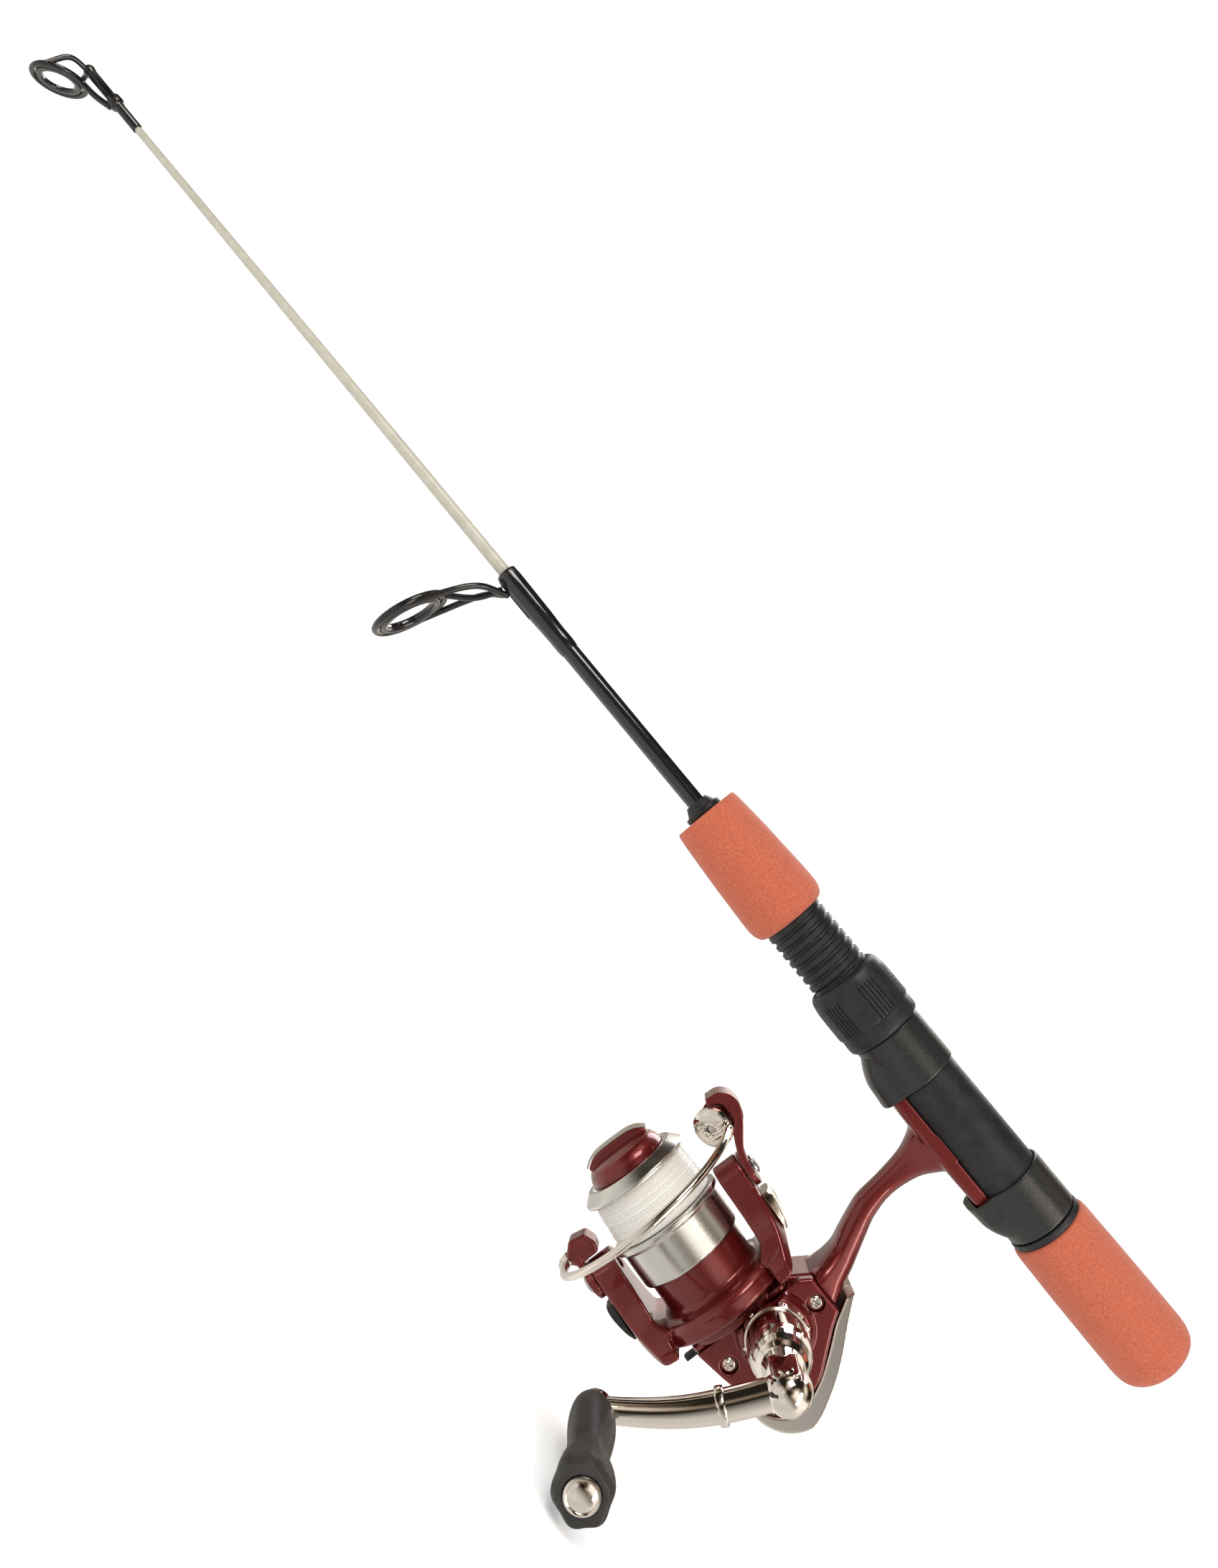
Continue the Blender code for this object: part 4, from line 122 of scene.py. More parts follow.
def room():
    """A wide sphere that only reflections see: beige walls, dark gaps and bright openings."""
    bm = bmesh.new()
    bmesh.ops.create_uvsphere(bm, u_segments=48, v_segments=24, radius=ROOM_RADIUS)
    mesh = bpy.data.meshes.new("room")
    bm.to_mesh(mesh)
    bm.free()
    look = bpy.data.materials.new("room_paint")
    look.use_nodes = True
    tree = look.node_tree
    shader = tree.nodes["Principled BSDF"]
    shader.inputs["Base Color"].default_value = (0, 0, 0, 1)
    shader.inputs["Specular IOR Level"].default_value = 0.0
    shader.inputs["Roughness"].default_value = 1.0
    shader.inputs["Emission Strength"].default_value = 1.0
    place = tree.nodes.new("ShaderNodeTexCoord").outputs["Object"]
    pattern = tree.nodes.new("ShaderNodeTexNoise")
    pattern.inputs["Scale"].default_value = 0.24
    pattern.inputs["Detail"].default_value = 0.6
    tree.links.new(place, pattern.inputs["Vector"])
    ramp = tree.nodes.new("ShaderNodeValToRGB")
    ramp.color_ramp.elements[0].position = 0.38
    ramp.color_ramp.elements[0].color = (0.020, 0.016, 0.012, 1)
    ramp.color_ramp.elements[1].position = 0.64
    ramp.color_ramp.elements[1].color = (1.25, 1.18, 1.08, 1)
    for position, colour in ((0.44, (0.10, 0.07, 0.05, 1)), (0.50, (0.36, 0.29, 0.22, 1))):
        ramp.color_ramp.elements.new(position).color = colour
    ramp.color_ramp.elements.new(0.56).color = (0.62, 0.55, 0.46, 1)
    tree.links.new(pattern.outputs["Fac"], ramp.inputs["Fac"])
    # Under the object the room turns pale, like a sheet of white paper.
    height = tree.nodes.new("ShaderNodeSeparateXYZ")
    tree.links.new(place, height.inputs["Vector"])
    below_eye = tree.nodes.new("ShaderNodeMapRange")
    below_eye.inputs["From Min"].default_value = 0.4
    below_eye.inputs["From Max"].default_value = -2.2
    below_eye.inputs["To Max"].default_value = 0.75
    tree.links.new(height.outputs["Z"], below_eye.inputs["Value"])
    paper = tree.nodes.new("ShaderNodeMix")
    paper.data_type = "RGBA"
    paper.inputs[MIX_B].default_value = (0.95, 0.91, 0.85, 1)
    tree.links.new(below_eye.outputs["Result"], paper.inputs[MIX_FACTOR])
    tree.links.new(ramp.outputs["Color"], paper.inputs[MIX_A])
    tree.links.new(paper.outputs[MIX_RESULT], shader.inputs["Emission Color"])
    mesh.materials.append(look)
    made = bpy.data.objects.new("room", mesh)
    made.location = (-0.2, 0, 0)
    bpy.context.scene.collection.objects.link(made)
    made.visible_camera = False
    made.visible_diffuse = False
    made.visible_transmission = False
    made.visible_volume_scatter = False
    made.visible_shadow = False


def stage():
    low = CAD_BOUNDS[0].z - 2 * MM
    bm = bmesh.new()
    bmesh.ops.create_circle(bm, cap_ends=True, segments=96, radius=14.0)
    mesh = bpy.data.meshes.new("floor")
    bm.to_mesh(mesh)
    bm.free()
    look = bpy.data.materials.new("floor_paint")
    look.use_nodes = True
    shader = look.node_tree.nodes["Principled BSDF"]
    shader.inputs["Base Color"].default_value = (0.90, 0.90, 0.90, 1)
    shader.inputs["Emission Color"].default_value = (1, 1, 1, 1)
    shader.inputs["Emission Strength"].default_value = 0.16
    shader.inputs["Roughness"].default_value = 0.9
    shader.inputs["Specular IOR Level"].default_value = 0.1
    mesh.materials.append(look)
    floor = bpy.data.objects.new("floor", mesh)
    floor.location = (-0.2, 0, low)
    floor.visible_glossy = False
    bpy.context.scene.collection.objects.link(floor)
    world = bpy.data.worlds.new("studio")
    bpy.context.scene.world = world
    world.use_nodes = True
    world.node_tree.nodes["Background"].inputs["Color"].default_value = (1.0, 1.0, 1.0, 1)
    world.node_tree.nodes["Background"].inputs["Strength"].default_value = 1.03
    lamp("key", (-0.75, -0.75, 0.85), (0.55, 0.55), 8, (1.0, 0.96, 0.90))
    lamp("side", (0.55, -0.7, 0.35), (0.25, 0.9), 4, (1.0, 0.93, 0.85))
    lamp("back", (-0.3, 0.9, 0.7), (0.8, 0.5), 6, (0.92, 0.95, 1.0))
    room()
    bpy.context.scene.view_settings.view_transform = "Standard"


camera()
stage()

# ---------------------------------------------------------------- materials


class Nodes:
    """A material's node tree, with short ways to add to it."""

    def __init__(self, name, base, roughness, metallic=0.0, **sockets):
        self.material = bpy.data.materials.new(name)
        self.material.use_nodes = True
        self.tree = self.material.node_tree
        self.shader = self.tree.nodes["Principled BSDF"]
        self.set("Base Color", (*base, 1))
        self.set("Roughness", roughness)
        self.set("Metallic", metallic)
        for key, value in sockets.items():
            self.set(key.replace("_", " "), value)
        self.place = self.tree.nodes.new("ShaderNodeTexCoord").outputs["Object"]
        self.height = None

    def set(self, key, value):
        self.shader.inputs[key].default_value = value

    def noise(self, scale, detail=2.0, place=None):
        node = self.tree.nodes.new("ShaderNodeTexNoise")
        node.inputs["Scale"].default_value = scale
        node.inputs["Detail"].default_value = detail
        self.tree.links.new(place or self.place, node.inputs["Vector"])
        return node.outputs["Fac"]

    def ramp(self, fac, stops):
        node = self.tree.nodes.new("ShaderNodeValToRGB")
        node.color_ramp.elements[0].position = stops[0][0]
        node.color_ramp.elements[0].color = (*stops[0][1], 1)
        node.color_ramp.elements[1].position = stops[-1][0]
        node.color_ramp.elements[1].color = (*stops[-1][1], 1)
        for position, colour in stops[1:-1]:
            made = node.color_ramp.elements.new(position)
            made.color = (*colour, 1)
        self.tree.links.new(fac, node.inputs["Fac"])
        return node.outputs["Color"]

    def colour(self, fac, *stops):
        self.tree.links.new(self.ramp(fac, stops), self.shader.inputs["Base Color"])
        return self

    def rough(self, fac, low, high, between=(0.3, 0.7)):
        node = self.tree.nodes.new("ShaderNodeMapRange")
        node.inputs["From Min"].default_value = between[0]
        node.inputs["From Max"].default_value = between[1]
        node.inputs["To Min"].default_value = low
        node.inputs["To Max"].default_value = high
        self.tree.links.new(fac, node.inputs["Value"])
        self.tree.links.new(node.outputs["Result"], self.shader.inputs["Roughness"])
        return self

    def bump(self, fac, distance, strength=1.0):
        node = self.tree.nodes.new("ShaderNodeBump")
        node.inputs["Distance"].default_value = distance
        node.inputs["Strength"].default_value = strength
        self.tree.links.new(fac, node.inputs["Height"])
        if self.height is not None:
            self.tree.links.new(self.height, node.inputs["Normal"])
        self.height = node.outputs["Normal"]
        self.tree.links.new(self.height, self.shader.inputs["Normal"])
        return self

    def stretched(self, along, scale):
        """Coordinates that change only along one direction, for turned or drawn surfaces."""
        dot = self.tree.nodes.new("ShaderNodeVectorMath")
        dot.operation = "DOT_PRODUCT"
        dot.inputs[1].default_value = along
        self.tree.links.new(self.place, dot.inputs[0])
        pack = self.tree.nodes.new("ShaderNodeCombineXYZ")
        self.tree.links.new(dot.outputs["Value"], pack.inputs["X"])
        return self.noise(scale, 3.0, pack.outputs["Vector"])


SPOOL_TILT = math.radians(3.03)
SPOOL_FORWARD = Vector((-math.cos(SPOOL_TILT), 0, math.sin(SPOOL_TILT)))
SPOOL_UP = Vector((math.sin(SPOOL_TILT), 0, math.cos(SPOOL_TILT)))


def materials():
    made = {}

    def begin(name, *values, **sockets):
        made[name] = Nodes(name, *values, **sockets)
        return made[name]

    blank = begin("white_glass", (0.36, 0.34, 0.28), 0.34)
    blank.colour(blank.noise(420), (0.3, (0.335, 0.315, 0.255)), (0.7, (0.385, 0.365, 0.305)))
    blank.rough(blank.noise(1500), 0.28, 0.42).bump(blank.noise(2200), 0.03 * MM, 0.5)
    gloss = begin("black_gloss", (0.008, 0.008, 0.009), 0.08, Coat_Weight=0.6, Coat_Roughness=0.04)
    gloss.rough(gloss.noise(700), 0.06, 0.16).bump(gloss.noise(320), 0.12 * MM, 0.35)
    satin = begin("black_satin", (0.013, 0.013, 0.014), 0.42, Specular_IOR_Level=0.35)
    satin.colour(satin.noise(260), (0.3, (0.010, 0.010, 0.011)), (0.7, (0.017, 0.017, 0.018)))
    satin.rough(satin.noise(900), 0.34, 0.52).bump(satin.noise(3200), 0.03 * MM, 0.6)
    hood = begin("black_hood", (0.014, 0.014, 0.014), 0.3)
    hood.rough(hood.noise(1400), 0.18, 0.42).bump(hood.noise(2600, 3), 0.05 * MM, 0.8)
    wire = begin("black_metal", (0.007, 0.007, 0.008), 0.16, 0.3, Coat_Weight=0.5)
    wire.rough(wire.noise(1500), 0.10, 0.26).bump(wire.noise(900), 0.04 * MM, 0.4)
    foam = begin("orange_foam", (0.36, 0.07, 0.035), 0.9, Sheen_Weight=0.1, Sheen_Roughness=0.5)
    foam.colour(
        foam.noise(2600, 4), (0.25, (0.255, 0.045, 0.019)), (0.5, (0.375, 0.078, 0.034)),
        (0.78, (0.46, 0.120, 0.058)),
    )
    foam.rough(foam.noise(1200), 0.80, 0.95).bump(foam.noise(240, 3), 0.15 * MM, 0.4)
    foam.bump(foam.noise(3400, 4), 0.10 * MM, 0.9)
    red = begin(
        "red_metallic", (0.14, 0.010, 0.008), 0.34, 0.65, Coat_Weight=0.8, Coat_Roughness=0.05
    )
    red.colour(
        red.noise(7000, 3), (0.30, (0.070, 0.0045, 0.006)), (0.52, (0.150, 0.009, 0.009)),
        (0.75, (0.27, 0.026, 0.016)),
    )
    red.rough(red.noise(5200), 0.26, 0.40).bump(red.noise(380), 0.03 * MM, 0.25)
    chrome = begin("chrome", (0.80, 0.75, 0.69), 0.05, 1.0)
    chrome.rough(chrome.noise(420, 4), 0.04, 0.10).bump(chrome.noise(150), 0.02 * MM, 0.1)
    silver = begin("silver", (0.72, 0.71, 0.68), 0.2, 1.0)
    lines = silver.stretched(SPOOL_FORWARD, 9000)
    silver.rough(lines, 0.14, 0.32).bump(lines, 0.02 * MM, 0.5)
    for name, base, roughness, blotch, low, high, grain, height, strength in (
        ("steel", (0.55, 0.55, 0.56), 0.26, 1300, 0.20, 0.38, 2600, 0.02, 0.3),
        ("brass", (0.72, 0.52, 0.25), 0.3, 900, 0.22, 0.42, 2000, 0.02, 0.3),
        ("zinc", (0.42, 0.42, 0.43), 0.42, 700, 0.34, 0.55, 1500, 0.03, 0.5),
    ):
        metal = begin(name, base, roughness, 1.0)
        metal.rough(metal.noise(blotch), low, high).bump(metal.noise(grain), height * MM, strength)
    knob = begin("knob_plastic", (0.022, 0.020, 0.019), 0.5, Specular_IOR_Level=0.4)
    knob.colour(knob.noise(180), (0.3, (0.018, 0.017, 0.016)), (0.7, (0.028, 0.026, 0.025)))
    knob.rough(knob.noise(1100), 0.42, 0.58).bump(knob.noise(4200), 0.03 * MM, 0.7)
    nylon = begin(
        "nylon", (0.62, 0.60, 0.56), 0.3, Coat_Weight=0.3, Subsurface_Weight=0.15,
        Subsurface_Radius=(0.002, 0.0018, 0.0015),
    )
    nylon.colour(
        nylon.stretched(SPOOL_FORWARD, 1500), (0.3, (0.50, 0.47, 0.42)), (0.7, (0.70, 0.69, 0.66))
    )
    nylon.rough(nylon.noise(900), 0.22, 0.4)
    felt = begin("felt", (0.12, 0.10, 0.08), 0.9, Sheen_Weight=0.3)
    felt.bump(felt.noise(2600, 4), 0.1 * MM, 0.8)
    arbor = begin("arbor", (0.55, 0.45, 0.30), 0.9)
    arbor.bump(arbor.noise(1600, 4), 0.1 * MM, 0.6)
    return {name: nodes.material for name, nodes in made.items()}


LOOKS = materials()
for node_name, node_object in frame["nodes"].items():
    look = LOOKS[NODE_SLOT[node_name]]
    if not node_object.material_slots:
        node_object.data.materials.append(look)
    for held in node_object.material_slots:
        held.material = look

# ---------------------------------------------------------------- axes

CRANK_CENTRE = Vector((-70.3, 0, -70.5)) * MM
SPOOL_ORIGIN = CRANK_CENTRE - SPOOL_UP * 7.2 * MM
ARM_DIRECTION = Vector((-0.546, 0, -0.838)).normalized()
BAIL_PIVOT_S = 34.0 * MM
SIDEWAYS = Vector((0, 1, 0))
# Rod: Z towards the butt and X down. Spool: Z forward and X towards the rod. Bail: the same at its pivot.
ROD = basis((0, 0, 0), (0, 0, -1), (0, 1, 0), (1, 0, 0))
SPOOL = basis(SPOOL_ORIGIN, SPOOL_UP, SIDEWAYS, SPOOL_FORWARD)
BAIL = basis(SPOOL_ORIGIN + SPOOL_FORWARD * BAIL_PIVOT_S, SPOOL_UP, SIDEWAYS, SPOOL_FORWARD)
# Side: X and Y are the object's X and Z, and Z points at the crank's side. Crank: X along the arm.
SIDE = basis((0, 0, 0), (1, 0, 0), (0, 0, 1), (0, -1, 0))
CRANK = basis(CRANK_CENTRE, ARM_DIRECTION, Vector((0, -1, 0)).cross(ARM_DIRECTION), (0, -1, 0))


def at(x=0.0, y=0.0, z=0.0):
    return Matrix.Translation((x, y, z))


def spin(degrees, axis):
    return Matrix.Rotation(math.radians(degrees), 4, axis)


def towards(origin, direction):
    """The placing whose Z points along a direction."""
    return at(*origin) @ Vector(direction).to_track_quat("Z", "Y").to_matrix().to_4x4()


def spool_to_world(up, forward):
    point = SPOOL_ORIGIN + SPOOL_UP * up + SPOOL_FORWARD * forward
    return point.x, point.z


# ---------------------------------------------------------------- mesh helpers


def mm(points, start=0.0):
    """Pairs given in millimetres as metres, the second counted from a start."""
    return [(a * MM, start + b * MM) for a, b in points]


def turns_of(sides):
    return [2 * math.pi * i / sides for i in range(sides)]


def circle(radius, level, sides):
    return [(radius * math.cos(t), radius * math.sin(t), level) for t in turns_of(sides)]


def solid(bm, place, smooth=35):
    """An object of a bmesh that was drawn in a placed frame, with its mesh in the row frame."""
    bmesh.ops.remove_doubles(bm, verts=bm.verts, dist=1e-7)
    bmesh.ops.transform(bm, matrix=place, verts=bm.verts)
    bmesh.ops.recalc_face_normals(bm, faces=bm.faces)
    mesh = bpy.data.meshes.new("solid")
    bm.to_mesh(mesh)
    bm.free()
    mesh.shade_smooth()
    mesh.set_sharp_from_angle(angle=math.radians(smooth))
    made = bpy.data.objects.new("solid", mesh)
    bpy.context.scene.collection.objects.link(made)
    return made


def grid(rows, place, closed=True, capped=False, smooth=35):
    """Joins rows of equally many points, round and round; closed joins the last row to the first."""
    bm = bmesh.new()
    verts = [[bm.verts.new(p) for p in row] for row in rows]
    pairs = list(zip(verts, verts[1:]))
    if closed:
        pairs.append((verts[-1], verts[0]))
    for low, high in pairs:
        for i in range(len(low)):
            j = (i + 1) % len(low)
            bm.faces.new((low[i], low[j], high[j], high[i]))
    if capped:
        bm.faces.new(verts[0][::-1])
        bm.faces.new(verts[-1])
    return solid(bm, place, smooth)


def turned(profile, place, sides=96, smooth=35):
    """Spins a (radius, height) outline round the placed Z. One that ends where it began is a ring."""
    bm = bmesh.new()
    verts = [bm.verts.new((r, 0, h)) for r, h in profile]
    edges = [bm.edges.new(pair) for pair in zip(verts, verts[1:])]
    bmesh.ops.spin(
        bm, geom=verts + edges, cent=(0, 0, 0), axis=(0, 0, 1), dvec=(0, 0, 0),
        angle=2 * math.pi, steps=sides, use_merge=True,
    )
    return solid(bm, place, smooth)


def rounded(points, radius, steps=6):
    """The closed outline with each corner turned into an arc of this radius, or as much as fits."""
    outline = []
    count = len(points)
    radii = list(radius) if isinstance(radius, (list, tuple)) else [radius] * count
    for i, corner in enumerate(points):
        here = Vector(corner)
        before, after = Vector(points[i - 1]) - here, Vector(points[(i + 1) % count]) - here
        bend = before.angle(after) if radii[i] else 0
        reach = radii[i] / math.tan(bend / 2) if radii[i] and bend < 3.12 else 0.0
        reach = min(reach, 0.48 * before.length, 0.48 * after.length)
        if reach < 1e-6:
            outline.append(tuple(here))
            continue
        start, end = here + before.normalized() * reach, here + after.normalized() * reach
        for k in range(steps + 1):
            t = k / steps
            outline.append(tuple((1 - t) ** 2 * start + 2 * t * (1 - t) * here + t * t * end))
    return outline


def soft_turned(profile, radius, place, sides=96, steps=4):
    """A turned piece whose profile has rounded corners. The profile is closed, or ends on the axis."""
    if profile[0] == profile[-1]:
        outline = rounded(profile[:-1], radius, steps)
        return turned(outline + outline[:1], place, sides)
    kept = [radius] * len(profile)
    kept[0] = kept[-1] = 0.0
    return turned(rounded(profile, kept, steps), place, sides)


def ring(inner, outer, low, high, place, radius=0.0, sides=96):
    profile = [(inner, low), (outer, low), (outer, high), (inner, high), (inner, low)]
    return soft_turned(profile, radius, place, sides)


def disc(radius, low, high, place, edge=0.0, sides=64):
    return soft_turned([(0, low), (radius, low), (radius, high), (0, high)], edge, place, sides)


def area(points):
    return 0.5 * sum(a[0] * b[1] - b[0] * a[1] for a, b in zip(points, points[1:] + points[:1]))


def offset(points, distance, closed=True):
    """The outline moved outwards (or, with a negative distance, inwards). Outlines run anticlockwise."""
    moved = []
    count = len(points)
    for i, point in enumerate(points):
        here = Vector(point)
        before = Vector(points[i - 1]) if closed or i > 0 else None
        after = Vector(points[(i + 1) % count]) if closed or i < count - 1 else None
        into = (here - before).normalized() if before is not None else None
        out = (after - here).normalized() if after is not None else None
        into = out if into is None else into
        out = into if out is None else out
        along = (into + out).normalized()
        normal = Vector((along.y, -along.x))
        moved.append(tuple(here + normal * distance / max(0.5, math.cos(into.angle(out) / 2))))
    return moved


def shrunk(corners, radii, inset, steps=8):
    moved = offset(corners, -inset) if inset else corners
    return rounded(moved, [max(0.3 * MM, r - inset) if r else 0.0 for r in radii], steps)


def plate(corners, low, high, place, radii=0.0, bevel=0.0, steps=8):
    """Extrudes an outline with rounded corners along the placed Z, with its edges rounded."""
    radii = list(radii) if isinstance(radii, (list, tuple)) else [radii] * len(corners)
    if area(corners) < 0:
        corners, radii = corners[::-1], radii[::-1]
    levels = [(0.0, low), (0.0, high)]
    if bevel:
        arc = [math.radians(22.5 * k) for k in range(5)]
        levels = [(bevel * (1 - math.sin(a)), low + bevel * (1 - math.cos(a))) for a in arc]
        levels += [(inset, low + high - z) for inset, z in levels[::-1]]
    rows = [[(x, y, z) for x, y in shrunk(corners, radii, inset, steps)] for inset, z in levels]
    return grid(rows, place, closed=False, capped=True)


def box(low, high, place):
    outline = [(low[0], low[1]), (high[0], low[1]), (high[0], high[1]), (low[0], high[1])]
    return plate(outline, low[2], high[2], place)


def smooth_path(points, steps=4):
    """Points on a Catmull-Rom curve through the given ones."""
    vectors = [Vector(p) for p in points]
    ends = [2 * vectors[0] - vectors[1], *vectors, 2 * vectors[-1] - vectors[-2]]
    path = []
    for a, b, c, d in zip(ends, ends[1:], ends[2:], ends[3:]):
        for k in range(steps):
            t = k / steps
            path.append(
                0.5 * (2 * b + (c - a) * t + (2 * a - 5 * b + 4 * c - d) * t**2)
                + 0.5 * (3 * b - a - 3 * c + d) * t**3
            )
    return [*path, vectors[-1]]


def flat_path(points, steps=4):
    return [(p.x, p.y) for p in smooth_path([(a, b, 0) for a, b in points], steps)]


def wire(points, radii, place, sides=20):
    """A round bar along a path; radii is one value, or one for each point."""
    path = [Vector(p) for p in points]
    radii = radii if isinstance(radii, (list, tuple)) else [radii] * len(path)
    last = len(path) - 1
    side = (path[1] - path[0]).orthogonal().normalized()
    rows = []
    for i, (point, radius) in enumerate(zip(path, radii)):
        tangent = (path[min(i + 1, last)] - path[max(i - 1, 0)]).normalized()
        side = (side - tangent * side.dot(tangent)).normalized()
        up = tangent.cross(side)
        rows.append([point + (side * math.cos(t) + up * math.sin(t)) * radius for t in turns_of(sides)])
    return grid(rows, place, closed=False, capped=True)


def hoop(radius, thickness, place, sides=96, section=20):
    """A round wire bent into a closed ring about the placed Z axis."""
    profile = [
        (radius + thickness * math.cos(t), thickness * math.sin(t)) for t in turns_of(section)
    ]
    return turned(profile + profile[:1], place, sides)


def squarish(half_x, half_y, power, count=48):
    """An ellipse whose sides are flatter the smaller the power is; 1 makes a plain ellipse."""
    points = []
    for k in range(count):
        x, y = math.cos(2 * math.pi * k / count), math.sin(2 * math.pi * k / count)
        points.append(
            (half_x * math.copysign(abs(x) ** power, x), half_y * math.copysign(abs(y) ** power, y))
        )
    return points


def together(*objects):
    """One object of several overlapping ones."""
    bm = bmesh.new()
    for obj in objects:
        bm.from_mesh(obj.data)
        bpy.data.objects.remove(obj)
    return solid(bm, Matrix.Identity(4))


def applied(obj):
    """The object with its modifiers made part of its mesh."""
    view = bpy.context.evaluated_depsgraph_get()
    mesh = bpy.data.meshes.new_from_object(obj.evaluated_get(view))
    obj.modifiers.clear()
    obj.data = mesh
    return obj


def boolean(obj, operation, others):
    for other in others:
        step = obj.modifiers.new("step", "BOOLEAN")
        step.operation = operation
        step.object = other
        step.solver = "EXACT"
    applied(obj)
    for other in others:
        bpy.data.objects.remove(other)
    return obj


def cut(obj, *others):
    return boolean(obj, "DIFFERENCE", others)


def join(obj, *others):
    return boolean(obj, "UNION", others)


def melted(obj, voxel, rounds):
    """The object with its edges rounded, as cast and lacquered pieces have them."""
    step = obj.modifiers.new("remesh", "REMESH")
    step.mode = "VOXEL"
    step.voxel_size = voxel
    step.use_smooth_shade = True
    step = obj.modifiers.new("ease", "SMOOTH")
    step.factor = 0.5
    step.iterations = rounds
    applied(obj)
    obj.data.shade_smooth()
    return obj


def edged(obj, width, segments=3):
    step = obj.modifiers.new("edge", "BEVEL")
    step.width = width
    step.segments = segments
    step.limit_method = "ANGLE"
    step.angle_limit = math.radians(40)
    step.harden_normals = True
    return applied(obj)


def piece(obj, node, look=None, name=None):
    """Names the object, gives it its material, and puts it in the place of a CAD node."""
    obj.name = name or f"{node}_detail"
    obj.data.name = obj.name
    obj.data.materials.clear()
    obj.data.materials.append(LOOKS[look or NODE_SLOT[node]])
    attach(obj, NODE_BODY[node])
    if name is None:
        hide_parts(node)
    return obj


# ---------------------------------------------------------------- rod and guides

TIP_X, WRAP_X, WRAP_END_X = -459.0 * MM, -268.0 * MM, -240.0 * MM
BUTT_R = 2.55 * MM


def rod():
    tube_end = TIP_X + 23 * MM
    profile = [(0, TIP_X + 1.5 * MM), (0.95 * MM, TIP_X + 1.5 * MM), (0.95 * MM, tube_end)]
    profile += [(1.05 * MM, tube_end + 0.2 * MM), (1.85 * MM, WRAP_X), (1.85 * MM, WRAP_END_X)]
    piece(turned([*profile, (0, WRAP_END_X)], ROD, 48), "blank_tip")
    piece(ring(2.0 * MM, BUTT_R, WRAP_X + 3 * MM, -8 * MM, ROD, 0.1 * MM, 64), "blank_butt")
    length = WRAP_END_X - WRAP_X
    shape = (
        (0.0, 0.86), (0.03, 0.95), (0.10, 1.0), (0.25, 0.99), (0.45, 0.96), (0.60, 0.93),
        (0.72, 0.885), (0.80, 0.87), (0.88, 0.885), (0.94, 0.87), (0.99, 0.83), (1.0, 0.81),
    )
    outer = flat_path([(3.3 * MM * r, WRAP_X + length * s) for s, r in shape])
    bore = BUTT_R + GAP
    profile = [(bore, WRAP_X), *outer, (bore, WRAP_END_X), (bore, WRAP_X)]
    sleeve = turned(profile, ROD, 72)
    for vert in sleeve.data.vertices:
        axis = Vector((vert.co.x, 0, 0))
        if (vert.co - axis).length > bore + 0.1 * MM:
            swell = noise.noise(vert.co * 190) * 0.07 * MM
            vert.co += (vert.co - axis).normalized() * swell
    piece(sleeve, "guide_wrap")


def round_ring(inner, outer, half, place):
    """A guide's inner ring: a band with a fully rounded bore."""
    middle, reach = (inner + outer) / 2, (outer - inner) / 2
    section = [(middle + x, y) for x, y in squarish(reach, half, 0.8, 28)]
    return turned(section + section[:1], place, 96)


def tip_top():
    tilt, ring_r = math.radians(39.5), 8.0 * MM
    rear, bulb = TIP_X + 23 * MM, TIP_X
    profile = [
        (0, -1.6), (0.7, -1.55), (1.25, -1.2), (1.65, -0.6), (1.72, -0.1), (1.62, 0.5), (1.45, 1.1),
        (1.4, 1.6), (1.4, 10.4), (1.55, 10.7), (1.98, 11.2), (2.1, 11.6), (2.1, 13.4), (1.98, 13.8),
        (1.5, 14.2), (1.4, 14.6), (1.4, 22.8), (1.3, 23.0), (1.07, 23.0), (1.07, 1.2), (0, 1.2),
    ]
    tube = turned(mm(profile, bulb), ROD, 40)
    centre = Vector((8.4 * MM, 0, bulb - 4 * MM))
    across = Vector((math.sin(tilt), 0, -math.cos(tilt)))
    seat = ROD @ towards(centre, across.cross(SIDEWAYS))
    outer = hoop(ring_r - 0.8 * MM, 0.8 * MM, seat)
    collar = Vector((2.0 * MM, 0, rear - 10.5 * MM))
    near_edge = centre - across * (ring_r - 0.8 * MM)
    middle = near_edge.lerp(collar, 0.5) + Vector((0.4 * MM, 0, 0))
    leg = wire(smooth_path([collar, middle, near_edge], 8), 0.88 * MM, ROD)
    forks = []
    for hand in (-1, 1):
        end = centre + SIDEWAYS * hand * (ring_r - 0.5 * MM)
        knee = Vector((2.0 * MM, hand * 4.4 * MM, bulb - 3.4 * MM))
        forks.append(wire(smooth_path([(0.2 * MM, 0, bulb), knee, end], 8), 0.75 * MM, ROD))
    piece(together(tube, outer, leg, *forks), "tip_top_frame")
    piece(round_ring(ring_r - 3.6 * MM, ring_r - 1.75 * MM, 0.8 * MM, seat), "tip_top_ring")


